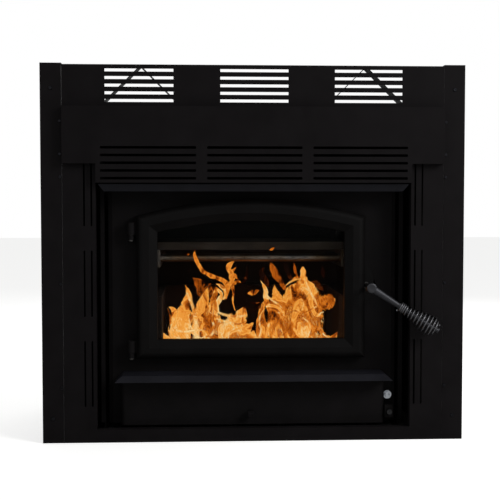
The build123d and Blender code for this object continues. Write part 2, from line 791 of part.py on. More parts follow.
with BuildPart() as hinge_knuckles:
    for knuckle_low in knuckle_z:
        with Locations((hinge_x, hinge_y, knuckle_low)):
            Cylinder(hinge_radius, knuckle_height, align=(Align.CENTER, Align.CENTER, Align.MIN))
        block((hinge_x, door_left), (hinge_y, hinge_y + hinge_radius),
              (knuckle_low, knuckle_low + knuckle_height))
        with Locations((hinge_x, hinge_y, knuckle_low)):
            Cylinder(hinge_pin + running, knuckle_height - pin_head,
                     align=(Align.CENTER, Align.CENTER, Align.MIN), mode=Mode.SUBTRACT)
hinge_knuckles.part.label = "hinge_knuckles"
export_step(hinge_knuckles.part, "parts/hinge_knuckles.step")

# Latch bushing in the ear, and the shaft, boss and tapered lever with the rod inside the coil grip.
with BuildPart() as latch_bushing:
    with BuildSketch(facing(door_back - ear_thick)):
        with Locations((latch_x, latch_z)):
            Circle(shaft_radius + bushing_wall - running)
            Circle(shaft_radius + running, mode=Mode.SUBTRACT)
    extrude(amount=-ear_thick - door_gap / 2)
latch_bushing.part.label = "latch_bushing"
export_step(latch_bushing.part, "parts/latch_bushing.step")

cam_front = plate_back + door_gap
lever_root = Vector(latch_x, (boss_y[0] + boss_y[1]) / 2, latch_z)
lever_flat = cos(radians(lever_out))
lever_way = Vector(lever_flat * cos(radians(lever_down)), -sin(radians(lever_out)),
                   -lever_flat * sin(radians(lever_down)))
lever_plane = Plane(origin=lever_root, x_dir=Vector(0, 1, 0).cross(lever_way), z_dir=lever_way)
coil_end = coil_from + coil_length
with BuildPart() as handle_lever:
    with BuildSketch(facing(boss_y[0])):
        with Locations((latch_x, latch_z)):
            Circle(boss_radius)
    extrude(amount=boss_y[0] - boss_y[1])
    fillet(handle_lever.faces().sort_by(Axis.Y)[0].edges(), radius=boss_radius / 3)
    with BuildSketch(facing(boss_y[1])):
        with Locations((latch_x, latch_z)):
            Circle(shaft_radius)
    extrude(amount=boss_y[1] - cam_front - cam_thick)
    with BuildSketch(lever_plane):
        Circle(lever_radii[0])
    with BuildSketch(lever_plane.offset(coil_from)):
        Circle(lever_radii[1])
    loft()
    with BuildSketch(lever_plane.offset(coil_from)):
        Circle(core_radius)
    extrude(amount=coil_length)
    with BuildSketch(lever_plane.offset(coil_from)):
        Circle(seat_radius)
    extrude(amount=coil_tight * coil_pitches[0])
    with BuildSketch(lever_plane.offset(coil_end)):
        Circle(cap_radius)
    extrude(amount=cap_thick)
handle_lever.part.label = "handle_lever"
export_step(handle_lever.part, "parts/handle_lever.step")


# Where the coil's centre line is after a number of turns: close turns first, then a swelling, then
# a quick closing at the end. Distances run along the lever from its root.
def coil_point(turn):
    swell = min(max((turn - coil_tight) / coil_swell, 0), 1)
    closing = min(max((turn - coil_tight - coil_swell) / coil_closing, 0), 1)
    radius = coil_small + (coil_big - coil_small) * (1 - cos(pi * swell)) / 2
    radius -= (coil_big - coil_close) * (1 - cos(pi * closing)) / 2
    along = min(turn, coil_tight) * coil_pitches[0]
    along += coil_swell * coil_pitches[1] * swell
    along += coil_closing * coil_pitches[2] * closing
    reach = coil_from + coil_seat + wire_radius + along * coil_stretch
    angle = 2 * pi * turn
    return lever_plane.from_local_coords(Vector(radius * cos(angle), radius * sin(angle), reach))


def coil_heading(turn):
    return (coil_point(turn + coil_step) - coil_point(turn - coil_step)).normalized()


coil_turns = coil_tight + coil_swell + coil_closing
coil_natural = coil_tight * coil_pitches[0] + coil_swell * coil_pitches[1] + coil_closing * coil_pitches[2]
coil_stretch = (coil_length - 2 * (wire_radius + coil_seat)) / coil_natural

# The wire is one tube along two arcs in each quarter turn, tangent to the coil at their ends.
with BuildPart() as spring_handle:
    with BuildLine() as coil_line:
        for quarter in range(round(4 * coil_turns)):
            start = coil_point(quarter / 4)
            finish = coil_point((quarter + 1) / 4)
            leave = coil_heading(quarter / 4)
            arrive = coil_heading((quarter + 1) / 4)
            across = finish - start
            both = leave + arrive
            spread = 2 * (1 - leave.dot(arrive))
            pull = (sqrt(across.dot(both) ** 2 + spread * across.dot(across)) - across.dot(both)) / spread
            middle = (start + leave * pull + finish - arrive * pull) * 0.5
            TangentArc(start, middle, tangent=leave)
            TangentArc(middle, finish, tangent=middle - start - leave * pull)
    with BuildSketch(Plane(origin=coil_line.line @ 0, z_dir=coil_line.line % 0)):
        Circle(wire_radius)
    sweep(path=coil_line.line)
spring_handle.part.label = "spring_handle"
export_step(spring_handle.part, "parts/spring_handle.step")

coil_samples = [coil_point(index / 48) for index in range(int(48 * coil_turns) + 1)]
coil_gap = min((coil_samples[i] - coil_samples[j]).length
               for i in range(len(coil_samples))
               for j in range(i + 30, min(i + 66, len(coil_samples))))
print("least gap of the coil to itself", round(coil_gap - 2 * wire_radius, 2), "mm")

# Latch cam behind the front plate, on the end of the shaft.
with BuildPart() as latch_cam:
    with BuildSketch(facing(cam_front)):
        with Locations((latch_x, latch_z)):
            Circle(latch_hole - 3)
        with Locations(Location((latch_x, latch_z), latch_closed)):
            with Locations((cam_reach / 2, 0)):
                Rectangle(cam_reach, cam_width)
        with Locations((latch_x, latch_z)):
            Circle(shaft_radius + running / 4, mode=Mode.SUBTRACT)
    extrude(amount=-cam_thick)
latch_cam.part.label = "latch_cam"
export_step(latch_cam.part, "parts/latch_cam.step")

# Primary air: an intake box under the firebox, and a rod with a damper plate that slides over the
# inlet in the box's bottom. Pushed in, the plate covers the inlet.
intake_front = plate_back + 24
intake_back = intake_front + intake[1]
intake_low = firebox_underside - intake[2]
damper_length = intake[1] - 2 * tray_sheet - air_travel - 2 * clear
damper_back = intake_back - tray_sheet - clear
damper_front = damper_back - damper_length
with BuildPart() as air_intake_box:
    block((air_x - intake[0] / 2, air_x + intake[0] / 2), (intake_front, intake_back),
          (intake_low, firebox_underside))
    block((air_x - intake[0] / 2 + tray_sheet, air_x + intake[0] / 2 - tray_sheet),
          (intake_front + tray_sheet, intake_back - tray_sheet),
          (intake_low + tray_sheet, firebox_underside), mode=Mode.SUBTRACT)
    block((air_x - intake[0] / 3, air_x + intake[0] / 3),
          (damper_front + 3 * tray_sheet, damper_back - 3 * tray_sheet),
          (intake_low, intake_low + tray_sheet), mode=Mode.SUBTRACT)
    with Locations(facing(intake_front)):
        with Locations((air_x, air_z)):
            Hole(rod_radius + clear, depth=2 * tray_sheet)
air_intake_box.part.label = "air_intake_box"
export_step(air_intake_box.part, "parts/air_intake_box.step")

damper_low = intake_low + tray_sheet + clear
with BuildPart() as air_damper:
    with BuildSketch(facing(knob_front + knob_length)):
        with Locations((air_x, air_z)):
            Circle(rod_radius)
    extrude(amount=knob_front + knob_length - damper_back)
    block((air_x - intake[0] / 2 + tray_sheet + damper_play,
           air_x + intake[0] / 2 - tray_sheet - damper_play),
          (damper_front, damper_back), (damper_low, damper_low + sheet))
    block((air_x - rod_radius / 2, air_x + rod_radius / 2), (damper_front, damper_back),
          (damper_low, air_z))
air_damper.part.label = "air_damper"
export_step(air_damper.part, "parts/air_damper.step")

with BuildPart() as air_knob:
    block((air_x - knob_size / 2, air_x + knob_size / 2), (knob_front, knob_front + knob_length),
          (air_z - knob_size / 2, air_z + knob_size / 2))
    fillet(air_knob.edges().filter_by(Axis.Y), radius=knob_size / 6)
    chamfer(air_knob.faces().sort_by(Axis.Y)[0].edges(), length=knob_size / 15)
    for groove in (-1, 0, 1):
        groove_z = air_z + groove * knob_size / 4
        block((air_x - knob_size, air_x + knob_size), (knob_front - 1, knob_front + 1),
              (groove_z - 0.8, groove_z + 0.8), mode=Mode.SUBTRACT)
air_knob.part.label = "air_control_knob"
export_step(air_knob.part, "parts/air_control_knob.step")

# Fan control box with its speed dial, and above it the thermostat on a bracket.
box_x = (control_x - control_box[0] / 2, control_x + control_box[0] / 2)
box_front = plate_y - control_box[1]
control_z = control_height
box_top = control_z + control_box[2] / 2
stat_z = box_top + stat_lift
with BuildPart() as fan_control_box:
    block(box_x, (box_front, plate_y), (box_top - control_box[2], box_top))
    block((box_x[0] + sheet, box_x[1] - sheet), (box_front + sheet, plate_y),
          (box_top - control_box[2] + sheet, box_top - sheet), mode=Mode.SUBTRACT)
    with Locations(facing(box_front)):
        with Locations((control_x, control_z)):
            Hole(dial_radius / 3 + clear, depth=2 * sheet)
fan_control_box.part.label = "fan_control_box"
export_step(fan_control_box.part, "parts/fan_control_box.step")

dial_back = box_front - clear
with BuildPart() as fan_dial:
    with BuildSketch(facing(dial_back)):
        with Locations((control_x, control_z)):
            Circle(dial_radius)
    extrude(amount=dial_length, taper=4)
    with BuildSketch(facing(dial_back)):
        with Locations((control_x, control_z)):
            Circle(dial_radius / 3)
    extrude(amount=-dial_length)
    block((control_x - 0.6, control_x + 0.6), (dial_back - dial_length - 0.1, dial_back - dial_length + 1),
          (control_z, control_z + dial_radius), mode=Mode.SUBTRACT)
fan_dial.part.label = "fan_speed_dial"
export_step(fan_dial.part, "parts/fan_speed_dial.step")

with BuildPart() as thermostat_bracket:
    block(box_x, (box_front, plate_y), (box_top, box_top + sheet))
    block(box_x, (plate_y - sheet, plate_y), (box_top + sheet, stat_z + stat_radius))
thermostat_bracket.part.label = "thermostat_bracket"
export_step(thermostat_bracket.part, "parts/thermostat_bracket.step")

stat_back = plate_y - sheet
with BuildPart() as thermostat:
    with BuildSketch(facing(stat_back)):
        with Locations((control_x, stat_z)):
            Circle(stat_radius - 1.5)
    extrude(amount=stat_disc)
    with BuildSketch(facing(stat_back - stat_disc)):
        with Locations((control_x, stat_z)):
            Circle(stat_radius * 0.66)
    extrude(amount=stat_disc)
    for tab in (-1, 1):
        tab_x = control_x + tab * stat_radius * 0.35
        block((tab_x - 0.5, tab_x + 0.5), (stat_back - 3 * stat_disc, stat_back - 2 * stat_disc),
              (stat_z - 3, stat_z + 3))
thermostat.part.label = "thermostat"
export_step(thermostat.part, "parts/thermostat.step")

# Blower behind the firebox on the base pan: a motor with a double-ended shaft between two scrolls.
blower_y = (firebox_back + wall + jacket_back - jacket_sheet) / 2
housing_half = (jacket_back - jacket_sheet - firebox_back - wall) / 2 - 3
motor_half = motor_length / 2
with BuildPart() as blower_motor:
    with Locations((0, blower_y, blower_z)):
        Cylinder(motor_radius, motor_length, rotation=(0, 90, 0))
    fillet(blower_motor.edges().filter_by(GeomType.CIRCLE), radius=motor_radius / 8)
    block((-motor_half / 2, motor_half / 2), (blower_y - motor_radius / 2, blower_y + motor_radius / 2),
          (sheet, blower_z))
    with Locations((0, blower_y, blower_z)):
        Cylinder(rotor_shaft + running, 2 * motor_length, rotation=(0, 90, 0), mode=Mode.SUBTRACT)
blower_motor.part.label = "blower_motor"
export_step(blower_motor.part, "parts/blower_motor.step")

housing_inner = motor_half + housing_gap
housing_top = blower_z + rotor_radius + housing_gap
with BuildPart() as blower_housings:
    for side in (-1, 1):
        scroll_x = sorted((side * housing_inner, side * (housing_inner + housing_width)))
        with BuildPart(mode=Mode.PRIVATE) as scroll:
            block(scroll_x, (blower_y - housing_half, blower_y + housing_half), (sheet, housing_top))
            fillet(scroll.faces().sort_by(Axis.Z)[0].edges().filter_by(Axis.X), radius=housing_half * 0.8)
            offset(amount=-blower_wall, openings=scroll.faces().sort_by(Axis.Z)[-1])
        add(scroll.part)
    with Locations((0, blower_y, blower_z)):
        Cylinder(rotor_inlet, 4 * (housing_inner + housing_width), rotation=(0, 90, 0), mode=Mode.SUBTRACT)
blower_housings.part.label = "blower_housings"
export_step(blower_housings.part, "parts/blower_housings.step")

wheel_length = housing_width - 2 * blower_wall - 2 * housing_clear
with BuildPart() as blower_rotor:
    with Locations((0, blower_y, blower_z)):
        Cylinder(rotor_shaft, 2 * (housing_inner + housing_width), rotation=(0, 90, 0))
    for side in (-1, 1):
        wheel_x = side * (housing_inner + housing_width / 2)
        with Locations((wheel_x, blower_y, blower_z)):
            Cylinder(rotor_radius, 2 * sheet, rotation=(0, 90, 0))
            Cylinder(rotor_shaft * 2.5, 8 * sheet, rotation=(0, 90, 0))
        with BuildSketch(Plane.YZ.offset(wheel_x - wheel_length / 2)):
            with Locations((blower_y, blower_z)):
                with PolarLocations(rotor_radius - rotor_blade / 2, rotor_blades):
                    Rectangle(rotor_blade, sheet)
        extrude(amount=wheel_length)
        for ring_side in (-1, 1):
            ring_x = wheel_x + ring_side * (wheel_length / 2 - sheet)
            with BuildSketch(Plane.YZ.offset(ring_x - sheet)):
                with Locations((blower_y, blower_z)):
                    Circle(rotor_radius)
                    Circle(rotor_radius - rotor_blade, mode=Mode.SUBTRACT)
            extrude(amount=2 * sheet)
blower_rotor.part.label = "blower_rotor"
export_step(blower_rotor.part, "parts/blower_rotor.step")

# Pan head screws down the inner seams of the nailing strips.
with BuildPart() as panel_screws:
    for side in (-1, 1):
        for screw_z in screw_heights:
            with BuildSketch(facing(0)):
                with Locations((side * screw_x, screw_z)):
                    Circle(screw_radius)
            extrude(amount=screw_head, taper=25)
            with BuildSketch(facing(0)):
                with Locations((side * screw_x, screw_z)):
                    Circle(screw_radius / 2 - running)
            extrude(amount=-4 * screw_head)
panel_screws.part.label = "panel_screws"
export_step(panel_screws.part, "parts/panel_screws.step")
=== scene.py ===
import json
import math
import random

import bmesh
import bpy
from mathutils import Matrix, Vector, noise


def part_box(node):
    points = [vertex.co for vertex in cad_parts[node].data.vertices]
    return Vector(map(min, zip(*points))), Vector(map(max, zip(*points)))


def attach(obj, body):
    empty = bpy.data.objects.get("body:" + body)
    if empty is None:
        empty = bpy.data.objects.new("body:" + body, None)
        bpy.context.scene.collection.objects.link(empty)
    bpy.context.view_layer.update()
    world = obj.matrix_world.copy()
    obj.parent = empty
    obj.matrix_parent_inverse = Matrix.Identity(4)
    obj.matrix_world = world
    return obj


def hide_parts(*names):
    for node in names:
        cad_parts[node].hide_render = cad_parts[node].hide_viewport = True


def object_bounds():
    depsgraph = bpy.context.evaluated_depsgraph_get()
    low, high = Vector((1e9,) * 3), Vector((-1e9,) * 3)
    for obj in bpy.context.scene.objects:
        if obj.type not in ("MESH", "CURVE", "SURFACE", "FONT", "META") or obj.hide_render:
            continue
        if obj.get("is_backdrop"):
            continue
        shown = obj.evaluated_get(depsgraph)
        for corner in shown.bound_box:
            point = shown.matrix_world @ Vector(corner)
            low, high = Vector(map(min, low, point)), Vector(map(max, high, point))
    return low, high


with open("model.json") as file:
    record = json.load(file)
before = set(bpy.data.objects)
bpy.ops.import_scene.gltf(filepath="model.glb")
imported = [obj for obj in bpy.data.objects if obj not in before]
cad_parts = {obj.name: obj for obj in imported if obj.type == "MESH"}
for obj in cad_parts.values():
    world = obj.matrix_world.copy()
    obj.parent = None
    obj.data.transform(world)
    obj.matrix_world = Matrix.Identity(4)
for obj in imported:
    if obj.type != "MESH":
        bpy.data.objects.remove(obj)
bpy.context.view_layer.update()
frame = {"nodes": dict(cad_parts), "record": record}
nodes = frame["nodes"]
scene = bpy.context.scene
scene.view_settings.view_transform = "Standard"
random.seed(7)
print("frame loaded,", len(nodes), "nodes")


# Colours are written as sRGB hex and turned to linear here.
def hexColour(text):
    parts = [int(text[i:i + 2], 16) / 255 for i in (1, 3, 5)]
    linear = [c / 12.92 if c <= 0.04045 else ((c + 0.055) / 1.055) ** 2.4 for c in parts]
    return (*linear, 1.0)


def newMaterial(name):
    material = bpy.data.materials.new(name)
    material.use_nodes = True
    tree = material.node_tree
    tree.nodes.clear()
    return material, tree


# Adds one node: settings by attribute, values by socket, links as socket: (node, output), and a ramp's
# stops as (place, colour). A socket is given by its name or number.
def addNode(tree, kind, settings=None, values=None, links=None, stops=()):
    node = tree.nodes.new(kind)
    for name, value in (settings or {}).items():
        setattr(node, name, value)
    for name, value in (values or {}).items():
        node.inputs[name].default_value = value
    for name, (source, output) in (links or {}).items():
        tree.links.new(source.outputs[output], node.inputs[name])
    if stops:
        elements = node.color_ramp.elements
        while len(elements) < len(stops):
            elements.new(0.5)
        for element, (place, colour) in zip(elements, stops):
            element.position = place
            element.color = hexColour(colour)
    return node


# The four numbers that a Map Range node takes.
def spanOf(fromMin, fromMax, toMin=0.0, toMax=1.0):
    return {"From Min": fromMin, "From Max": fromMax, "To Min": toMin, "To Max": toMax}


def addObject(name, data):
    thing = bpy.data.objects.new(name, data)
    scene.collection.objects.link(thing)
    return thing


def pointAt(thing, place, target):
    thing.location = place
    thing.rotation_mode = "QUATERNION"
    thing.rotation_quaternion = (Vector(target) - Vector(place)).to_track_quat("-Z", "Y")


# The camera stands a little left of the middle and above it, as the photograph's does.
cameraFacts = {"place": (-0.130, -2.500, 0.590), "aim": (-0.0108, 0.0, 0.470), "lens": 74.1, "sensor": 36}
camera = addObject("camera", bpy.data.cameras.new("camera"))
pointAt(camera, cameraFacts["place"], cameraFacts["aim"])
camera.data.lens = cameraFacts["lens"]
camera.data.sensor_width = cameraFacts["sensor"]
scene.camera = camera

# A soft key lamp from the right, a weak fill from the left, and a lamp behind that lights the casing.
lampFacts = {
    "keyLamp": {"place": (2.0, -1.7, 1.7), "aim": (0, 0, 0.5), "size": 1.2, "power": 46},
    "fillLamp": {"place": (-2.4, -2.4, 1.5), "aim": (0, 0, 0.5), "size": 1.8, "power": 6},
    "backLamp": {"place": (0.6, 2.8, 2.0), "aim": (0, 0.4, 0.5), "size": 1.8, "power": 24},
}
for name, facts in lampFacts.items():
    lamp = addObject(name, bpy.data.lights.new(name, "AREA"))
    pointAt(lamp, facts["place"], facts["aim"])
    lamp.data.shape = "DISK"
    lamp.data.size = facts["size"]
    lamp.data.energy = facts["power"]

# The light that the fire throws on the bricks round it.
glowFacts = {"place": (0.01, 0.19, 0.30), "radius": 0.06, "power": 0.12, "colour": "#ff9a4a"}
glow = addObject("fireGlow", bpy.data.lights.new("fireGlow", "POINT"))
glow.location = glowFacts["place"]
glow.data.shadow_soft_size = glowFacts["radius"]
glow.data.energy = glowFacts["power"]
glow.data.color = hexColour(glowFacts["colour"])[:3]

# White behind the object for the camera, metal and glass; a plain grey light for everything else.
worldFacts = {"colour": "#ffffff", "seenStrength": 1.0, "lightStrength": 0.30}
world = bpy.data.worlds.new("plainStudio")
scene.world = world
world.use_nodes = True
tree = world.node_tree
tree.nodes.clear()
rays = addNode(tree, "ShaderNodeLightPath")
seen = addNode(tree, "ShaderNodeMath", {"operation": "MAXIMUM"},
               links={0: (rays, "Is Camera Ray"), 1: (rays, "Is Glossy Ray")})
seenAll = addNode(tree, "ShaderNodeMath", {"operation": "MAXIMUM"},
                  links={0: (seen, 0), 1: (rays, "Is Transmission Ray")})
plain, white = [addNode(tree, "ShaderNodeBackground", values={"Color": hexColour(worldFacts["colour"]),
                                                              "Strength": worldFacts[strength]})
                for strength in ("lightStrength", "seenStrength")]
pick = addNode(tree, "ShaderNodeMixShader", links={0: (seenAll, 0), 1: (plain, 0), 2: (white, 0)})
addNode(tree, "ShaderNodeOutputWorld", links={"Surface": (pick, 0)})

# The floor is pale, nearly as white as the background for the camera, and it keeps the soft shadow.
floorFacts = {"half": 14.0, "drop": 0.0005, "colour": "#f4f4f2", "lift": 0.62}
floorMesh = bmesh.new()
bmesh.ops.create_grid(floorMesh, x_segments=1, y_segments=1, size=floorFacts["half"])
bmesh.ops.translate(floorMesh, verts=floorMesh.verts, vec=(0, 0, -floorFacts["drop"]))
floorData = bpy.data.meshes.new("studioFloor")
floorMesh.to_mesh(floorData)
floorMesh.free()
floor = addObject("studioFloor", floorData)
floorPaint, tree = newMaterial("paleFloor")
rays = addNode(tree, "ShaderNodeLightPath")
paper = addNode(tree, "ShaderNodeBsdfDiffuse", values={"Color": hexColour(floorFacts["colour"])})
lift = addNode(tree, "ShaderNodeMath", {"operation": "MULTIPLY"}, {1: floorFacts["lift"]},
               {0: (rays, "Is Camera Ray")})
own = addNode(tree, "ShaderNodeEmission", values={"Color": hexColour("#ffffff")},
              links={"Strength": (lift, 0)})
both = addNode(tree, "ShaderNodeAddShader", links={0: (paper, 0), 1: (own, 0)})
addNode(tree, "ShaderNodeOutputMaterial", links={"Surface": (both, 0)})
floorData.materials.append(floorPaint)
floor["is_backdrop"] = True
print("camera, lamps and floor ready")

roughSpread = 0.08  # how far the roughness strays to each side of its middle value


# A surface with fine grain: its colour strays softly between two hex values over patches some centimetres
# wide, its roughness with it, and its grain stands bumpMm high. Its edges look rounded by edgeMm.
def grainedFinish(name, dark, light, roughness, specular, grainMm, bumpMm, patchMm=60, metallic=0.0,
                  edgeMm=0.0):
    material, tree = newMaterial(name)
    place = addNode(tree, "ShaderNodeTexCoord")
    patch = addNode(tree, "ShaderNodeTexNoise", links={"Vector": (place, "Object")},
                    values={"Scale": 1000 / patchMm, "Detail": 5, "Roughness": 0.6})
    grain = addNode(tree, "ShaderNodeTexNoise", links={"Vector": (place, "Object")},
                    values={"Scale": 1000 / grainMm, "Detail": 3, "Roughness": 0.55})
    colour = addNode(tree, "ShaderNodeValToRGB", links={"Fac": (patch, "Fac")},
                     stops=[(0.3, dark), (0.72, light)])
    rough = addNode(tree, "ShaderNodeMapRange", links={"Value": (patch, "Fac")},
                    values=spanOf(0.3, 0.7, roughness - roughSpread, roughness + roughSpread))
    bump = addNode(tree, "ShaderNodeBump", values={"Strength": 1.0, "Distance": bumpMm / 1000},
                   links={"Height": (grain, "Fac")})
    if edgeMm:
        edge = addNode(tree, "ShaderNodeBevel", {"samples": 4}, {"Radius": edgeMm / 1000})
        tree.links.new(edge.outputs["Normal"], bump.inputs["Normal"])
    surface = addNode(tree, "ShaderNodeBsdfPrincipled",
                      values={"Metallic": metallic, "Specular IOR Level": specular},
                      links={"Base Color": (colour, "Color"), "Roughness": (rough, "Result"),
                             "Normal": (bump, "Normal")})
    addNode(tree, "ShaderNodeOutputMaterial", links={"Surface": (surface, "BSDF")})
    return material, tree, {"place": place, "colour": colour, "surface": surface, "grain": grain}


plainFinishes = {
    # High-temperature stove paint, sprayed on sheet steel: dead matt and nearly black, with a fine dry grain.
    "stove_black": {"name": "stovePaintOnSheet", "dark": "#0f0e0e", "light": "#161415", "roughness": 0.62,
                    "specular": 0.035, "grainMm": 0.9, "bumpMm": 0.05, "edgeMm": 0.8},
    # Powder coat on the face panels: a little smoother, with an orange-peel ripple about 2 mm across.
    "face_black": {"name": "powderCoatOnSheet", "dark": "#0e0c0d", "light": "#141213", "roughness": 0.56,
                   "specular": 0.04, "grainMm": 2.0, "bumpMm": 0.04, "edgeMm": 0.8},
    # Stove paint over cast iron: the sand-cast skin shows as a coarser, rounder grain.
    "cast_black": {"name": "stovePaintOnCastIron", "dark": "#090808", "light": "#0e0d0d", "roughness": 0.5,
                   "specular": 0.045, "grainMm": 1.6, "bumpMm": 0.12, "edgeMm": 1.2},
    # Fibreglass rope: grey-black from soot, and quite dull.
    "gasket_rope": {"name": "fibreglassRope", "dark": "#24221f", "light": "#3a3733", "roughness": 0.9,
                    "specular": 0.1, "grainMm": 0.6, "bumpMm": 0.15},
    # Black nickel plate on the spring wire: a dark mirror with soft patches from handling.
    "nickel_coil": {"name": "blackNickelWire", "dark": "#4a4a4c", "light": "#5c5c5f", "roughness": 0.33,
                    "specular": 0.5, "grainMm": 4.0, "bumpMm": 0.01, "patchMm": 14, "metallic": 1.0},
    # The same plate on the lever's bar, darker and duller where the door's heat reaches it.
    "handle_steel": {"name": "blackNickelBar", "dark": "#2c2c2e", "light": "#3b3b3e", "roughness": 0.42,
                     "specular": 0.5, "grainMm": 2.0, "bumpMm": 0.02, "patchMm": 25, "metallic": 1.0},
    # Turned steel pins, oiled: dark grey and half bright.
    "pin_steel": {"name": "oiledSteelPin", "dark": "#353433", "light": "#464543", "roughness": 0.38,
                  "specular": 0.5, "grainMm": 1.5, "bumpMm": 0.02, "patchMm": 12, "metallic": 1.0},
    # Spun aluminium cap of the thermostat: the one bright spot low on the face.
    "stat_aluminium": {"name": "spunAluminiumCap", "dark": "#8f9399", "light": "#b4b8be", "roughness": 0.32,
                       "specular": 0.5, "grainMm": 1.2, "bumpMm": 0.01, "patchMm": 10, "metallic": 1.0},
    # Moulded black phenolic: a soft shine over a fine mould grain.
    "dial_plastic": {"name": "mouldedPhenolic", "dark": "#101011", "light": "#181819", "roughness": 0.45,
                     "specular": 0.25, "grainMm": 0.7, "bumpMm": 0.03, "patchMm": 20},
    # Black oxide on steel screws: nearly black, but still metal in its shine.
    "screw_black": {"name": "blackOxideScrew", "dark": "#18181a", "light": "#242427", "roughness": 0.4,
                    "specular": 0.5, "grainMm": 1.0, "bumpMm": 0.01, "patchMm": 8, "metallic": 1.0},
    # Ceramic fibre baffle board, white when new and smoked grey-brown here.
    "baffle_fibre": {"name": "smokedFibreBoard", "dark": "#2e2823", "light": "#4a423a", "roughness": 0.92,
                     "specular": 0.1, "grainMm": 1.4, "bumpMm": 0.3, "patchMm": 45},
}
finishes = {slot: grainedFinish(**facts)[0] for slot, facts in plainFinishes.items()}


# Hot-dip galvanised sheet: zinc crystals about 11 mm across, each a little brighter or duller than the next.
def galvanisedSheet():
    material, tree, parts = grainedFinish("galvanisedSheet", "#73777a", "#909497", 0.46, 0.5,
                                          grainMm=1.2, bumpMm=0.01, patchMm=90, metallic=1.0)
    crystalMm = 11
    crystal = addNode(tree, "ShaderNodeTexVoronoi", {"feature": "F1"},
                      {"Scale": 1000 / crystalMm, "Randomness": 1.0}, {"Vector": (parts["place"], "Object")})
    shade = addNode(tree, "ShaderNodeMix", {"data_type": "RGBA", "blend_type": "SOFT_LIGHT"},
                    {"Factor": 0.55}, {"A": (parts["colour"], "Color"), "B": (crystal, "Color")})
    grey = addNode(tree, "ShaderNodeHueSaturation", values={"Saturation": 0.06},
                   links={"Color": (shade, "Result")})
    tree.links.new(grey.outputs["Color"], parts["surface"].inputs["Base Color"])
    split = addNode(tree, "ShaderNodeSeparateColor", links={"Color": (crystal, "Color")})
    rough = addNode(tree, "ShaderNodeMapRange", values={"To Min": 0.34, "To Max": 0.55},
                    links={"Value": (split, "Red")})
    tree.links.new(rough.outputs["Result"], parts["surface"].inputs["Roughness"])
    return material


# Mineral wool board faced with black glass mat: dull, with a loose fibre grain that lies flat.
def mineralWoolBoard():
    material, tree, parts = grainedFinish("glassMatFacedBoard", "#1a1918", "#2a2927", 0.95, 0.1,
                                          grainMm=1.6, bumpMm=0.8, patchMm=22)
    flat = addNode(tree, "ShaderNodeMapping", values={"Scale": (1.0, 1.0, 6.0)},
                   links={"Vector": (parts["place"], "Object")})
    tree.links.new(flat.outputs["Vector"], parts["grain"].inputs["Vector"])
    return material


# Firebrick in a used firebox: pale fireclay under soot, in dark patches, with open pores about 2 mm across,
# painted dark as shade.
def sootedFirebrick():
    material, tree, parts = grainedFinish("sootedFirebrick", "#100a08", "#241912", 0.93, 0.15,
                                          grainMm=2.2, bumpMm=0.5, patchMm=70)
    poreSpacingMm = 5
    pores = addNode(tree, "ShaderNodeTexVoronoi", {"feature": "F1"}, {"Scale": 1000 / poreSpacingMm},
                    {"Vector": (parts["place"], "Object")})
    # Painted shade: the middle of each pore is darkened, as if shade fell inside it.
    paintedPoreShade = addNode(tree, "ShaderNodeValToRGB", links={"Fac": (pores, "Distance")},
                  stops=[(0.12, "#000000"), (0.26, "#ffffff")])
    shade = addNode(tree, "ShaderNodeMix", {"data_type": "RGBA", "blend_type": "MULTIPLY"}, {"Factor": 0.6},
                    {"A": (parts["colour"], "Color"), "B": (paintedPoreShade, "Color")})
    tree.links.new(shade.outputs["Result"], parts["surface"].inputs["Base Color"])
    return material


# Stainless steel that has been hot: straw to brown to blue-grey tint in soft bands, about 120 mm apart.
def heatTintedStainless():
    material, tree, parts = grainedFinish("heatTintedStainless", "#4d4843", "#7d766d", 0.36, 0.5,
                                          grainMm=0.8, bumpMm=0.01, patchMm=40, metallic=1.0)
    bandMm = 120
    band = addNode(tree, "ShaderNodeTexNoise", values={"Scale": 1000 / bandMm, "Detail": 2},
                   links={"Vector": (parts["place"], "Object")})
    tint = addNode(tree, "ShaderNodeValToRGB", links={"Fac": (band, "Fac")},
                   stops=[(0.32, "#3a3733"), (0.45, "#5c4a38"), (0.58, "#6b6258"), (0.7, "#474c55")])
    tree.links.new(tint.outputs["Color"], parts["surface"].inputs["Base Color"])
    return material


# Glass ceramic, 5 mm: polished and nearly all seen through, under a faint film of smoke in patches of
# about 110 mm.
def ceramicGlass():
    material, tree = newMaterial("clearGlassCeramic")
    place = addNode(tree, "ShaderNodeTexCoord")
    smoke = addNode(tree, "ShaderNodeTexNoise", values={"Scale": 9.0, "Detail": 4, "Roughness": 0.6},
                    links={"Vector": (place, "Object")})
    film = addNode(tree, "ShaderNodeMapRange", values=spanOf(0.35, 0.75, 0.05, 0.10),
                   links={"Value": (smoke, "Fac")})
    surface = addNode(tree, "ShaderNodeBsdfPrincipled",
                      values={"Base Color": hexColour("#0c0b0a"), "Roughness": 0.06, "IOR": 1.53,
                              "Specular IOR Level": 0.2},
                      links={"Alpha": (film, "Result")})
    addNode(tree, "ShaderNodeOutputMaterial", links={"Surface": (surface, "BSDF")})
    return material


finishes["galvanised_steel"] = galvanisedSheet()
finishes["mineral_wool"] = mineralWoolBoard()
finishes["firebrick"] = sootedFirebrick()
finishes["stainless"] = heatTintedStainless()
finishes["ceramic_glass"] = ceramicGlass()

# The shelf and the hood are wiped and touched more, so their paint is smoother; its lighter, bluer colour is
# a painted highlight.
# Lighter and bluer than the stove paint: a painted highlight along the shelf's lip and the hood.
smoothPaintWithPaintedSheen = grainedFinish("smoothStovePaintWithPaintedSheen", "#141418", "#1c1c21", 0.45, 0.09,
                           grainMm=0.9, bumpMm=0.04, edgeMm=1.0)[0]
paintedSheenNodes = ("ash_shelf", "hood_deflector")
for row in frame["record"]["subparts"]:
    finish = smoothPaintWithPaintedSheen if row["node"] in paintedSheenNodes else finishes[row["material_slot"]]
    for holder in nodes[row["node"]].material_slots:
        holder.material = finish


weldGap = 0.00002  # points nearer than this, in metres, are merged


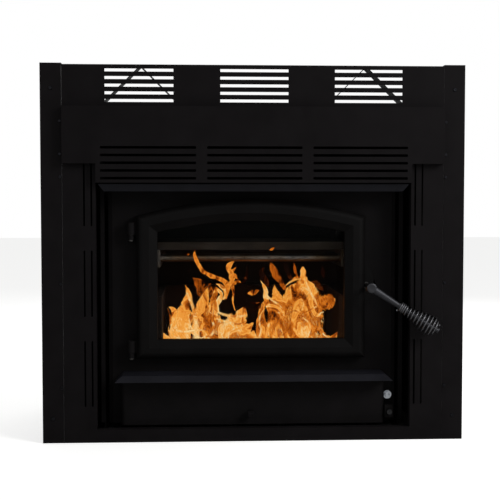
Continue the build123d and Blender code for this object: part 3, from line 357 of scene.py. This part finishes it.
# Closes a finished mesh, turns its faces outwards, and makes it a piece that rides on a body.
def makePiece(name, mesh, material, body, smooth=True):
    bmesh.ops.remove_doubles(mesh, verts=mesh.verts, dist=weldGap)
    bmesh.ops.recalc_face_normals(mesh, faces=mesh.faces)
    data = bpy.data.meshes.new(name)
    for face in mesh.faces:
        face.smooth = smooth
    mesh.to_mesh(data)
    mesh.free()
    data.materials.append(material)
    piece = addObject(name, data)
    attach(piece, body)
    return piece


# A capped circle to extrude from: its points, its edges, and the places that its points start at.
def startRing(mesh, sides, radius=1.0):
    ring = bmesh.ops.create_circle(mesh, cap_ends=True, segments=sides, radius=radius)["verts"]
    edges = list(dict.fromkeys(e for v in ring for e in v.link_edges))
    return ring, edges, [v.co.copy() for v in ring]


# Extrudes a ring once, in place. The new points come back in the old ones' order.
def nextRing(mesh, ring, edges):
    places = [tuple(v.co) for v in ring]
    grown = bmesh.ops.extrude_edge_only(mesh, edges=edges)["geom"]
    fresh = {tuple(v.co): v for v in grown if isinstance(v, bmesh.types.BMVert)}
    return [fresh[place] for place in places], [e for e in grown if isinstance(e, bmesh.types.BMEdge)]


# Each tongue of flame is (heat 0 to 1, depth in mm, spine), and a spine is (x, z, half width) in mm from its
# root up. The tongues of the highest heat are the thin bright filaments in front of the others.
leftTongues = [
    (0.80, 205, ((-182, 158, 33.6), (-184, 218, 37.7), (-184, 248, 31.9), (-180, 279, 22.9),
        (-170, 312, 14.8), (-163, 339, 10.1), (-165, 354, 5.4), (-172, 369, 0.7))),
    (0.78, 190, ((-142, 154, 33.6), (-142, 208, 37.7), (-139, 245, 33.6), (-132, 279, 27.6),
        (-125, 306, 20.2), (-121, 332, 13.4), (-116, 353, 5.4), (-112, 363, 1))),
    (0.86, 200, ((-99, 154, 33.6), (-99, 208, 37.7), (-98, 242, 32.9), (-100, 272, 24.2), (-102, 299, 15.5),
        (-98, 322, 9.4), (-92, 346, 6.1), (-91, 365, 1))),
    (0.82, 185, ((-57, 154, 33.6), (-57, 205, 37.7), (-55, 238, 30.3), (-45, 265, 25.6), (-28, 288, 19.5),
        (-20, 304, 8.7), (-16, 314, 1))),
    (0.74, 200, ((-20, 154, 26.9), (-18, 201, 30.3), (-18, 228, 22.2), (-11, 250, 15.5), (0, 261, 7.4),
        (9, 267, 1))),
    (0.72, 195, ((-210, 158, 20.2), (-217, 208, 22.2), (-227, 232, 12.1), (-240, 247, 1.3))),
    (0.80, 180, ((-193, 232, 8.7), (-199, 258, 7.4), (-203, 279, 6.7), (-199, 297, 8.1), (-205, 309, 5.7),
        (-214, 315, 0.7))),
    (0.95, 170, ((-149, 184, 13.4), (-144, 218, 14.8), (-142, 252, 10.1), (-145, 285, 6.7),
        (-152, 316, 6.1), (-160, 337, 5.7), (-167, 351, 3.4), (-170, 359, 0.7))),
    (0.66, 180, ((-66, 333, 1.7), (-61, 356, 6.7), (-65, 375, 8.1), (-82, 386, 5.4), (-104, 393, 6.4),
        (-124, 405, 5.7), (-136, 423, 5), (-144, 440, 4.4), (-147, 452, 3), (-145, 464, 0.3))),
    (0.90, 176, ((-72, 332, 2), (-67, 346, 4.7), (-72, 363, 5.4), (-82, 370, 4), (-91, 373, 1))),
    (0.74, 190, ((-41, 302, 2.4), (-47, 327, 2.7), (-45, 349, 2.7), (-49, 368, 5.7), (-49, 386, 7.4),
        (-50, 400, 7.1), (-58, 412, 6.7), (-55, 423, 6.1), (-43, 433, 0.7))),
    (0.66, 186, ((-51, 363, 1.7), (-43, 373, 4.4), (-33, 378, 4), (-26, 377, 0.7))),
    (0.62, 188, ((-49, 386, 3.4), (-43, 396, 4.7), (-38, 388, 3.4), (-26, 378, 0.7))),
    (0.60, 187, ((-53, 400, 3.4), (-45, 408, 3.7), (-37, 417, 0.3))),
    (0.34, 200, ((-26, 361, 0.7), (-18, 376, 3), (-11, 389, 4), (-10, 405, 2.7), (-9, 424, 0.3))),
    (0.40, 210, ((-100, 332, 10.1), (-112, 346, 18.8), (-124, 359, 20.8), (-137, 373, 13.4),
        (-153, 389, 0.7))),
    (0.92, 172, ((-86, 299, 3.4), (-90, 319, 6.1), (-82, 332, 6.7), (-77, 346, 5.4), (-86, 358, 4),
        (-92, 363, 1))),
    (1.00, 160, ((-168, 353, 1), (-160, 332, 2.7), (-149, 309, 3), (-144, 293, 0.7))),
    (1.00, 160, ((-92, 359, 1.3), (-96, 332, 3), (-99, 312, 3.7), (-102, 285, 3.4), (-96, 255, 4.4),
        (-112, 231, 4), (-126, 218, 1.7))),
    (1.00, 160, ((-133, 232, 1.3), (-112, 239, 4.4), (-86, 231, 4.7), (-55, 236, 1.3))),
    (1.00, 160, ((-2, 225, 1.7), (15, 232, 4.7), (35, 230, 1))),
    (0.96, 160, ((-210, 272, 1), (-197, 256, 3), (-173, 250, 4), (-146, 255, 3.7), (-119, 256, 1))),
    (0.96, 160, ((-102, 318, 1), (-86, 301, 4), (-59, 291, 5.4), (-28, 289, 4.7), (-10, 295, 0.7))),
    (0.94, 160, ((-108, 302, 1), (-86, 283, 4), (-59, 275, 5.4), (-32, 271, 4), (-12, 280, 0.7))),
    (0.94, 160, ((-160, 285, 1), (-158, 265, 3.4), (-146, 242, 4), (-126, 235, 1.3))),
    (0.95, 160, ((-59, 218, 1.3), (-59, 242, 3.4), (-45, 258, 3.4), (-52, 272, 2.4), (-62, 279, 0.7))),
    (0.95, 160, ((-217, 312, 0.7), (-210, 292, 3), (-208, 272, 3), (-193, 255, 1))),
    (0.95, 160, ((-210, 228, 1.7), (-193, 235, 4), (-173, 225, 3.4), (-149, 231, 1.3))),
    (0.44, 178, ((-172, 452, 0.3), (-165, 450, 3.4), (-159, 453, 0.3))),
    (0.16, 178, ((-164, 404, 0.3), (-160, 408, 3), (-155, 410, 0.3))),
    (0.70, 178, ((-10, 348, 0.3), (5, 350, 8.4), (23, 355, 0.3))),
    (0.26, 178, ((-235, 281, 0.3), (-230, 286, 3.7), (-225, 291, 0.3))),
    (0.30, 178, ((-8, 320, 0.7), (-4, 307, 3.7), (14, 306, 4), (31, 318, 4), (40, 330, 0.7))),
    (0.36, 178, ((-5, 326, 0.3), (9, 321, 3.4), (23, 326, 0.3))),
]
rightTongues = [
    (0.78, 195, ((-2, 154, 24), (0, 210, 26), (2, 232, 16), (8, 250, 1))),
    (0.80, 188, ((120, 154, 40), (122, 205, 44), (128, 236, 30), (132, 252, 3))),
    (0.72, 200, ((35, 158, 22.2), (35, 208, 24.2), (33, 245, 18.2), (29, 275, 12.1), (31, 302, 7.4),
        (41, 322, 6.1), (54, 334, 0.7))),
    (0.90, 182, ((52, 289, 3.4), (44, 319, 6.1), (38, 339, 6.7), (39, 354, 6.4), (33, 369, 3.4),
        (25, 382, 0.3))),
    (0.78, 195, ((76, 154, 30.3), (76, 205, 35), (71, 235, 30.9), (71, 265, 25.6), (68, 299, 20.2),
        (68, 332, 14.8), (64, 353, 8.7), (63, 369, 1))),
    (0.80, 185, ((113, 154, 37), (113, 201, 41), (109, 235, 41), (106, 272, 37.7), (109, 306, 33.6),
        (115, 339, 27.6), (126, 365, 16.1), (137, 387, 1.3))),
    (0.84, 192, ((155, 154, 33.6), (155, 205, 37.7), (156, 235, 35), (156, 265, 32.9), (157, 299, 32.3),
        (162, 329, 26.2), (156, 359, 16.1), (145, 384, 1.3))),
    (0.88, 180, ((154, 306, 10.1), (177, 317, 15.5), (195, 324, 18.8), (208, 327, 18.2), (218, 328, 11.4),
        (222, 328, 1.3))),
    (0.86, 176, ((143, 346, 11.4), (140, 373, 9.1), (138, 393, 8.4), (136, 408, 7.4), (136, 418, 1.7))),
    (0.46, 190, ((91, 357, 4.7), (79, 376, 8.1), (65, 398, 11.1), (57, 416, 6.4), (53, 428, 0.7))),
    (0.28, 200, ((47, 363, 3.4), (40, 379, 8.4), (29, 398, 7.4), (28, 408, 4), (37, 415, 0.7))),
    (0.28, 204, ((108, 383, 3.4), (98, 402, 6.7), (92, 421, 4.4), (96, 441, 0.3))),
    (0.40, 198, ((124, 387, 4), (118, 405, 5), (115, 427, 0.3))),
    (0.56, 186, ((109, 381, 2.7), (120, 388, 4.4), (135, 389, 4.4), (145, 385, 1))),
    (0.30, 205, ((155, 363, 5.4), (173, 370, 10.1), (187, 359, 6.7), (194, 351, 0.7))),
    (0.76, 200, ((200, 158, 23.5), (200, 205, 28.2), (198, 221, 16.8), (190, 239, 8.1), (185, 255, 1.3))),
    (0.72, 196, ((237, 158, 12.1), (239, 208, 12.1), (238, 230, 9.1), (240, 242, 7.4), (246, 249, 1))),
    (0.64, 190, ((210, 225, 3.4), (220, 231, 5.4), (229, 238, 5.4), (236, 243, 4.7), (244, 244, 0.7))),
    (1.00, 160, ((34, 365, 1.3), (42, 343, 3.7), (59, 329, 3.4), (76, 315, 2.4), (85, 297, 0.7))),
    (0.98, 160, ((126, 289, 1.3), (123, 300, 3), (111, 304, 3.4), (101, 295, 3.4), (103, 280, 3.4),
        (114, 274, 3), (126, 280, 1))),
    (1.00, 160, ((140, 386, 2), (148, 366, 3.7), (159, 343, 4), (173, 319, 4), (181, 304, 1.3))),
    (1.00, 160, ((126, 293, 0.7), (150, 305, 3), (173, 315, 3.4), (196, 302, 1))),
    (1.00, 160, ((190, 300, 1), (181, 296, 3), (177, 277, 3), (181, 255, 3), (192, 239, 3), (210, 230, 1))),
    (0.98, 160, ((48, 289, 1), (51, 258, 3), (59, 240, 3), (76, 229, 1.3))),
    (0.96, 160, ((62, 299, 1), (79, 297, 3), (93, 285, 3), (96, 265, 2.7), (86, 248, 1))),
    (0.94, 160, ((86, 366, 0.7), (99, 378, 3.4), (116, 385, 4), (135, 386, 1.3))),
    (0.94, 160, ((116, 332, 1.3), (126, 353, 4), (140, 363, 4), (150, 353, 1.3))),
    (0.95, 160, ((143, 225, 1.3), (153, 252, 3.7), (150, 272, 3), (136, 285, 2.7), (130, 289, 0.7))),
    (0.95, 160, ((15, 225, 1), (25, 252, 3.4), (21, 275, 3), (26, 295, 2.7), (39, 312, 0.7))),
    (0.95, 160, ((89, 218, 1.3), (109, 232, 3.7), (130, 228, 3.4), (153, 235, 3.4), (177, 225, 1))),
    (0.50, 178, ((48, 461, 0.3), (55, 464, 3.7), (63, 467, 0.3))),
    (0.34, 178, ((191, 389, 0.3), (188, 403, 5.7), (187, 421, 0.3))),
    (0.20, 178, ((64, 437, 0.3), (70, 435, 2.7), (75, 433, 0.3))),
]
fireFacts = {
    "sides": 10, "steps": 6,  # points round a tongue, and rings to each span of its spine
    "flatness": 0.30,  # thickness over width
    "spread": 1.15,  # how much the tongues that aren't filaments are widened
    "leastHalf": 0.15,  # half width at a tip, mm
    "sway": 9.0, "swayTurn": 4.3, "swayPhase": 6.28, "rootSway": 0.4,  # leaning in depth, mm and radians
    "filamentFrom": 0.935,  # heat from which a tongue is a filament
}


# A smooth line through the given points: Catmull-Rom, several steps to a span.
def smoothLine(points, steps):
    line = []
    for index in range(len(points) - 1):
        before = points[max(index - 1, 0)]
        here, there = points[index], points[index + 1]
        after = points[min(index + 2, len(points) - 1)]
        for step in range(steps):
            t = step / steps
            line.append(0.5 * (2 * here + (there - before) * t
                               + (2 * before - 5 * here + 4 * there - after) * t * t
                               + (3 * here - before - 3 * there + after) * t ** 3))
    line.append(points[-1].copy())
    return line


# One tongue: a flat ring extruded along its spine, wide and thin, and closed to a point at the tip.
def growTongue(mesh, layers, heat, depth, spine):
    phase = random.random() * fireFacts["swayPhase"]
    line = smoothLine([Vector(p) for p in spine], fireFacts["steps"])
    isFilament = heat >= fireFacts["filamentFrom"]
    ring, edges, unit = startRing(mesh, fireFacts["sides"])
    for index, point in enumerate(line):
        if index:
            ring, edges = nextRing(mesh, ring, edges)
        ahead = line[min(index + 1, len(line) - 1)] - line[max(index - 1, 0)]
        heading = Vector((ahead[0], 0, ahead[1])).normalized()
        across = Vector((heading[2], 0, -heading[0]))
        along = index / (len(line) - 1)
        half = max(point[2], fireFacts["leastHalf"]) * (1.0 if isFilament else fireFacts["spread"])
        reach = fireFacts["sway"] * (fireFacts["rootSway"] + along)
        lean = reach * math.sin(along * fireFacts["swayTurn"] + phase)
        centre = Vector((point[0], depth + lean, point[1]))
        thickness = Vector((0, 1, 0)) * fireFacts["flatness"]
        for v, place in zip(ring, unit):
            v.co = (centre + (across * place.x + thickness * place.y) * half) / 1000
            v[layers["across"]] = place.x
            v[layers["along"]] = along
            v[layers["fireLevel"]] = heat
            v[layers["soft"]] = 1.0 if isFilament else 0.0
    bmesh.ops.contextual_create(mesh, geom=ring)


gasFacts = {
    "foldScale": (19.0, 19.0, 10.5),  # folds to a metre: about 50 mm wide and twice as tall
    "fineScale": 2.2,  # how much smaller the fine folds are
    "wideLine": 0.055, "thinLine": 0.06,  # widths of the bright lines, in the noise's own units
    "thinGain": 0.5,  # brightness of the thin lines beside the wide ones
    "body": (0.24, 0.80), "lineGain": 0.34, "rimGain": 0.10, "lowGain": 0.09,  # what makes up the heat
    "lowFrom": 0.33, "lowTo": 0.235,  # heights in metres between which the fire grows hotter downwards
    "colours": [(0.0, "#140401"), (0.22, "#5c1f05"), (0.40, "#b8590f"), (0.56, "#ec8a2a"), (0.74, "#ffae4a"),
                (0.94, "#ffe2a0")],
}


# Burning wood gas: clear between its bright folds, orange in the body and pale yellow where it is hottest.
def burningGas():
    material, tree = newMaterial("burningGas")
    plus, minus, times = ({"operation": name} for name in ("ADD", "SUBTRACT", "MULTIPLY"))
    timesPlus, larger, unsigned = ({"operation": name} for name in ("MULTIPLY_ADD", "MAXIMUM", "ABSOLUTE"))
    gentle = {"interpolation_type": "SMOOTHSTEP"}
    place = addNode(tree, "ShaderNodeTexCoord")
    read = {name: addNode(tree, "ShaderNodeAttribute", {"attribute_name": name})
            for name in ("across", "along", "fireLevel", "soft")}
    stretch = addNode(tree, "ShaderNodeMapping", values={"Scale": gasFacts["foldScale"]},
                      links={"Vector": (place, "Object")})
    folds = addNode(tree, "ShaderNodeTexNoise", links={"Vector": (stretch, "Vector")},
                    values={"Scale": 1.0, "Detail": 2.0, "Roughness": 0.45, "Distortion": 1.5})
    fine = addNode(tree, "ShaderNodeTexNoise", links={"Vector": (stretch, "Vector")},
                   values={"Scale": gasFacts["fineScale"], "Detail": 2.0, "Roughness": 0.5,
                           "Distortion": 1.8})

    # The noise is near its middle value along winding lines: those are the bright filaments.
    def filament(source, width):
        offset = addNode(tree, "ShaderNodeMath", minus, {1: 0.5}, {0: (source, "Fac")})
        distance = addNode(tree, "ShaderNodeMath", unsigned, links={0: (offset, 0)})
        return addNode(tree, "ShaderNodeMapRange", gentle, spanOf(width, 0.0), {"Value": (distance, 0)})

    wide, thin = filament(folds, gasFacts["wideLine"]), filament(fine, gasFacts["thinLine"])
    faint = addNode(tree, "ShaderNodeMath", times, {1: gasFacts["thinGain"]}, {0: (thin, "Result")})
    lines = addNode(tree, "ShaderNodeMath", larger, links={0: (wide, "Result"), 1: (faint, 0)})

    # The noise frays the edge of a tongue. A filament fades from its middle instead.
    side = addNode(tree, "ShaderNodeMath", unsigned, links={0: (read["across"], "Fac")})
    fray = addNode(tree, "ShaderNodeMath", timesPlus, {1: 1.7, 2: -0.78}, {0: (fine, "Fac")})
    frayed = addNode(tree, "ShaderNodeMath", plus, links={0: (side, 0), 1: (fray, 0)})
    firm = addNode(tree, "ShaderNodeMapRange", gentle, spanOf(0.98, 0.62), {"Value": (frayed, 0)})
    faded = addNode(tree, "ShaderNodeMapRange", gentle, spanOf(0.95, 0.0, 0.0, 0.8), {"Value": (side, 0)})
    outline = addNode(tree, "ShaderNodeMix", links={"Factor": (read["soft"], "Fac"), "A": (firm, "Result"),
                                                    "B": (faded, "Result")})

    # The heat of the gas: its body's level, and more in the bright lines, at the rim and low in the fire.
    body = addNode(tree, "ShaderNodeMapRange", values=spanOf(0.35, 0.62, *gasFacts["body"]),
                   links={"Value": (folds, "Fac")})
    lined = addNode(tree, "ShaderNodeMath", timesPlus, {1: gasFacts["lineGain"]},
                    {0: (lines, 0), 2: (body, "Result")})
    rim = addNode(tree, "ShaderNodeMapRange", gentle, spanOf(0.35, 0.8), {"Value": (side, 0)})
    rimmed = addNode(tree, "ShaderNodeMath", timesPlus, {1: gasFacts["rimGain"]},
                     {0: (rim, "Result"), 2: (lined, 0)})
    height = addNode(tree, "ShaderNodeSeparateXYZ", links={"Vector": (place, "Object")})
    low = addNode(tree, "ShaderNodeMapRange", gentle, links={"Value": (height, "Z")},
                  values=spanOf(gasFacts["lowFrom"], gasFacts["lowTo"], 0.0, gasFacts["lowGain"]))
    hot = addNode(tree, "ShaderNodeMath", plus, links={0: (rimmed, 0), 1: (low, "Result")})
    warmth = addNode(tree, "ShaderNodeMath", times, links={0: (hot, 0), 1: (read["fireLevel"], "Fac")})
    colour = addNode(tree, "ShaderNodeValToRGB", links={"Fac": (warmth, 0)}, stops=gasFacts["colours"])

    # What is cool is clear, and so are the edges and the tips.
    tip = addNode(tree, "ShaderNodeMapRange", gentle, spanOf(1.0, 0.86, 0.25, 1.0),
                  {"Value": (read["along"], "Fac")})
    haze = addNode(tree, "ShaderNodeMapRange", gentle, spanOf(0.17, 0.44, 0.05, 0.98), {"Value": (warmth, 0)})
    edgeFade = addNode(tree, "ShaderNodeMath", times, links={0: (outline, "Result"), 1: (tip, "Result")})
    cover = addNode(tree, "ShaderNodeMath", {"operation": "MULTIPLY", "use_clamp": True},
                    links={0: (edgeFade, 0), 1: (haze, "Result")})
    light = addNode(tree, "ShaderNodeEmission", values={"Strength": 1.0}, links={"Color": (colour, "Color")})
    clear = addNode(tree, "ShaderNodeBsdfTransparent")
    mix = addNode(tree, "ShaderNodeMixShader", links={0: (cover, 0), 1: (clear, 0), 2: (light, 0)})
    addNode(tree, "ShaderNodeOutputMaterial", links={"Surface": (mix, 0)})
    return material


gas = burningGas()
for name, tongues in {"flamesLeft": leftTongues, "flamesRight": rightTongues}.items():
    mesh = bmesh.new()
    layers = {key: mesh.verts.layers.float.new(key) for key in ("across", "along", "fireLevel", "soft")}
    for heat, depth, spine in tongues:
        growTongue(mesh, layers, heat, depth, spine)
    makePiece(name, mesh, gas, "root")
print("fire built")

# Three logs on the firebrick floor carry the fire. Each is (middle, turn, tilt), in metres and degrees.
logFacts = {
    "radius": 0.034, "length": 0.36, "rings": 26, "sides": 22, "roughMm": 3.0,
    "lumpScale": 55, "crackScale": 140, "crackShare": 0.6,
    "places": [((-0.045, 0.225, 0.158), 6, 0), ((0.050, 0.300, 0.156), -9, 0),
               ((0.005, 0.262, 0.208), 18, 3)],
}


# Charred split wood: black cracked char, grey ash on top, and glowing seams between the blocks of char.
def charredWood():
    material, tree, parts = grainedFinish("charredWood", "#0a0908", "#2b2825", 0.95, 0.1,
                                          grainMm=1.8, bumpMm=0.6, patchMm=18)
    blockMm = 12
    cells = addNode(tree, "ShaderNodeTexVoronoi", {"feature": "DISTANCE_TO_EDGE"}, {"Scale": 1000 / blockMm},
                    {"Vector": (parts["place"], "Object")})
    seams = addNode(tree, "ShaderNodeValToRGB", links={"Fac": (cells, "Distance")},
                    stops=[(0.0, "#f0640f"), (0.02, "#7c2004"), (0.05, "#000000")])
    tree.links.new(seams.outputs["Color"], parts["surface"].inputs["Emission Color"])
    parts["surface"].inputs["Emission Strength"].default_value = 0.8
    return material


char = charredWood()
mesh = bmesh.new()
for place, turn, tilt in logFacts["places"]:
    ring, edges, _ = startRing(mesh, logFacts["sides"], logFacts["radius"])
    bark = list(ring)
    for index in range(logFacts["rings"]):
        ring, edges = nextRing(mesh, ring, edges)
        bmesh.ops.translate(mesh, verts=ring, vec=(0, 0, logFacts["length"] / logFacts["rings"]))
        bark += ring
    bmesh.ops.contextual_create(mesh, geom=ring)
    for v in bark:
        lump, crack = noise.noise(v.co * logFacts["lumpScale"]), noise.noise(v.co * logFacts["crackScale"])
        reach = logFacts["roughMm"] / 1000 * (lump + logFacts["crackShare"] * crack)
        v.co += Vector((v.co.x, v.co.y, 0)).normalized() * reach
    bmesh.ops.translate(mesh, verts=bark, vec=(0, 0, -logFacts["length"] / 2))
    lie = Matrix.Rotation(math.radians(90), 4, "Y")
    way = Matrix.Rotation(math.radians(turn), 4, "Z") @ Matrix.Rotation(math.radians(tilt), 4, "Y")
    bmesh.ops.transform(mesh, matrix=Matrix.Translation(place) @ way @ lie, verts=bark)
makePiece("charredLogs", mesh, char, "root")

# The bed of embers under them: a lumpy sheet that thins out to its edges, closed by a flat underside.
bedFacts = {
    "half": (0.19, 0.12), "place": (0.0, 0.262, 0.1205), "height": 0.016, "least": 0.001,
    "columns": 60, "rows": 40,
    "level": 0.5, "lumps": ((0.35, 9), (0.25, 23)),  # shares of the height, and lumps across the half width
}
mesh = bmesh.new()
bed = bmesh.ops.create_grid(mesh, size=1.0, x_segments=bedFacts["columns"],
                            y_segments=bedFacts["rows"])["verts"]
for v in bed:
    fade = max(0.0, 1 - (v.co.x ** 4 + v.co.y ** 4))
    lumps = bedFacts["level"] + sum(share * noise.noise(v.co * scale) for share, scale in bedFacts["lumps"])
    v.co = Vector((v.co.x * bedFacts["half"][0], v.co.y * bedFacts["half"][1],
                   bedFacts["height"] * fade * lumps + bedFacts["least"]))
bmesh.ops.translate(mesh, verts=bed, vec=bedFacts["place"])
under = bmesh.ops.extrude_face_region(mesh, geom=mesh.faces[:])["geom"]
for v in under:
    if isinstance(v, bmesh.types.BMVert):
        v.co.z = bedFacts["place"][2]
makePiece("emberBed", mesh, char, "root")
print("logs and embers laid")

# The rope in the door is three twisted strands, in mm.
ropeFacts = {
    "twist": 17, "perTurn": 8,  # length of one turn of the strands, and points to a turn
    "strand": 1.95, "lay": 2.05,  # radius of a strand, and how far its middle lies from the rope's
    "sides": 7, "strands": 3,
    "arch": 1017.9, "archSteps": 20,  # radius of the groove's arched top
    "corner": 12, "clear": 0.5,  # size of its cut corners, and the rope's gap to its outer wall
}
gasketLow, gasketHigh = (corner * 1000 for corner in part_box("door_gasket"))


# The middle of the groove: bottom, sides and arched top, with cut corners, as evenly spaced points.
def groovePath():
    inset = (gasketHigh.y - gasketLow.y) / 2 + ropeFacts["clear"]
    left, right = gasketLow.x + inset, gasketHigh.x - inset
    bottom, top = gasketLow.z + inset, gasketHigh.z - inset
    centre, radius = (left + right) / 2, ropeFacts["arch"]
    sideTop = top - radius + math.sqrt(radius ** 2 - (right - centre) ** 2)
    corner = ropeFacts["corner"]
    points = [Vector((x, bottom)) for x in (centre, right - corner)]
    points += [Vector((right, bottom + corner)), Vector((right, sideTop - corner))]
    for step in range(1, ropeFacts["archSteps"]):
        x = right + (left - right) * step / ropeFacts["archSteps"]
        points.append(Vector((x, top - radius + math.sqrt(radius ** 2 - (x - centre) ** 2))))
    points += [Vector((left, sideTop - corner)), Vector((left, bottom + corner))]
    points += [Vector((left + corner, bottom)), Vector((centre, bottom))]
    even, spare, gap = [], 0.0, ropeFacts["twist"] / ropeFacts["perTurn"]
    for a, b in zip(points, points[1:]):
        length = (b - a).length
        while spare < length:
            even.append(a.lerp(b, spare / length))
            spare += gap
        spare -= length
    return even


groove = groovePath()
inward = Vector((0, 1, 0))
mesh = bmesh.new()
for strand in range(ropeFacts["strands"]):
    ring, edges, unit = startRing(mesh, ropeFacts["sides"])
    for index, point in enumerate(groove):
        if index:
            ring, edges = nextRing(mesh, ring, edges)
        ahead = groove[(index + 1) % len(groove)] - groove[index - 1]
        heading = Vector((ahead.x, 0, ahead.y)).normalized()
        across = Vector((heading.z, 0, -heading.x))
        angle = 2 * math.pi * (index / ropeFacts["perTurn"] + strand / ropeFacts["strands"])
        centre = Vector((point.x, (gasketLow.y + gasketHigh.y) / 2, point.y))
        centre += (across * math.cos(angle) + inward * math.sin(angle)) * ropeFacts["lay"]
        for v, place in zip(ring, unit):
            v.co = (centre + (across * place.x + inward * place.y) * ropeFacts["strand"]) / 1000
    bmesh.ops.contextual_create(mesh, geom=ring)
rope = makePiece("doorRope", mesh, finishes["gasket_rope"], "door")
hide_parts("door_gasket")

# The tape under the glass keeps its own shape, with soft rounded edges.
tapeFacts = {"edge": 0.0009, "segments": 3, "weldGap": 0.00005,
             "flatBelow": math.radians(4), "sharpOver": 1.0}  # angles between faces, in radians
mesh = bmesh.new()
mesh.from_mesh(nodes["glass_gasket"].data)
bmesh.ops.remove_doubles(mesh, verts=mesh.verts, dist=tapeFacts["weldGap"])
bmesh.ops.dissolve_limit(mesh, angle_limit=tapeFacts["flatBelow"], verts=mesh.verts, edges=mesh.edges)
sharp = [e for e in mesh.edges if e.calc_face_angle(0) > tapeFacts["sharpOver"]]
bmesh.ops.bevel(mesh, geom=sharp, offset=tapeFacts["edge"], segments=tapeFacts["segments"], profile=0.5,
                affect="EDGES", material=-1)
tape = makePiece("glassTape", mesh, finishes["gasket_rope"], "door", smooth=False)
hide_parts("glass_gasket")
print("gaskets laid")

# Screw heads are low cones with a round recess, sizes in metres and shares of the radius.
screwFacts = {"radius": 0.0052, "height": 0.0022, "sides": 20, "topShare": 0.72, "rimShare": 0.26,
              "wallShare": 0.04, "recess": 0.0011}


def screwHead(mesh, place, outward, scale=1.0):
    radius = screwFacts["radius"]
    made = bmesh.ops.create_cone(mesh, cap_ends=True, segments=screwFacts["sides"], radius1=radius,
                                 radius2=radius * screwFacts["topShare"], depth=screwFacts["height"])["verts"]
    faces = {f for v in made for f in v.link_faces}
    top = max(faces, key=lambda f: f.calc_center_median().z)
    rim = bmesh.ops.inset_region(mesh, faces=[top], thickness=radius * screwFacts["rimShare"], depth=0.0)
    wall = bmesh.ops.inset_region(mesh, faces=[top], thickness=radius * screwFacts["wallShare"],
                                  depth=-screwFacts["recess"])
    whole = list({v for f in faces | set(rim["faces"]) | set(wall["faces"]) | {top} for v in f.verts})
    turn = Vector((0, 0, 1)).rotation_difference(Vector(outward)).to_matrix().to_4x4()
    move = Matrix.Translation(Vector(place) + Vector(outward) * screwFacts["height"] * scale / 2)
    bmesh.ops.transform(mesh, matrix=move @ turn @ Matrix.Scale(scale, 4), verts=whole)


# Four screws in the strips' corners hold the face to the framing.
framingFacts = {"x": 0.49, "heights": (0.06, 0.86), "front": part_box("nailing_strip_left")[0].y}
mesh = bmesh.new()
for x in (-framingFacts["x"], framingFacts["x"]):
    for z in framingFacts["heights"]:
        screwHead(mesh, (x, framingFacts["front"], z), (0, -1, 0))
makePiece("framingScrews", mesh, finishes["screw_black"], "root", smooth=False)

# Sheet-metal screws run up the casing's sides, near its back and front, and along its top.
seamFacts = {
    "side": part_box("casing_right")[1].x, "top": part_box("casing_top")[1].z, "scale": 0.8,
    "depths": (0.58, 0.06), "sideFrom": 0.07, "sidePitch": 0.128, "sideCount": 6,
    "topFrom": 0.06, "topPitch": 0.13, "topCount": 5, "topInset": 0.012,
}
mesh = bmesh.new()
for side in (-1, 1):
    for index in range(seamFacts["sideCount"]):
        z = seamFacts["sideFrom"] + index * seamFacts["sidePitch"]
        for y in seamFacts["depths"]:
            screwHead(mesh, (side * seamFacts["side"], y, z), (side, 0, 0), seamFacts["scale"])
    for index in range(seamFacts["topCount"]):
        place = (side * (seamFacts["side"] - seamFacts["topInset"]),
                 seamFacts["topFrom"] + index * seamFacts["topPitch"], seamFacts["top"])
        screwHead(mesh, place, (0, 0, 1), seamFacts["scale"])
makePiece("casingScrews", mesh, finishes["galvanised_steel"], "root", smooth=False)

# Folded lips of the casing's sheets: thin flat strips up the back and front edges of its sides.
lipFacts = {"thick": 0.0009, "edge": 0.0003, "heights": (0.002, 0.798),
            "depths": ((0.569, 0.5995), (0.045, 0.073))}
mesh = bmesh.new()
for side in (-1, 1):
    for near, far in lipFacts["depths"]:
        strip = bmesh.ops.create_cube(mesh, size=1.0)["verts"]
        low = Vector((seamFacts["side"], near, lipFacts["heights"][0]))
        high = Vector((seamFacts["side"] + lipFacts["thick"], far, lipFacts["heights"][1]))
        middle = (high + low) / 2
        bmesh.ops.scale(mesh, vec=high - low, verts=strip)
        bmesh.ops.translate(mesh, vec=(side * middle.x, middle.y, middle.z), verts=strip)
        rim = list(dict.fromkeys(e for v in strip for e in v.link_edges))
        bmesh.ops.bevel(mesh, geom=rim, offset=lipFacts["edge"], segments=1, profile=0.5, affect="EDGES",
                        material=-1)
makePiece("casingLips", mesh, finishes["galvanised_steel"], "root", smooth=False)
print("screws and seams added")

low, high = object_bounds()
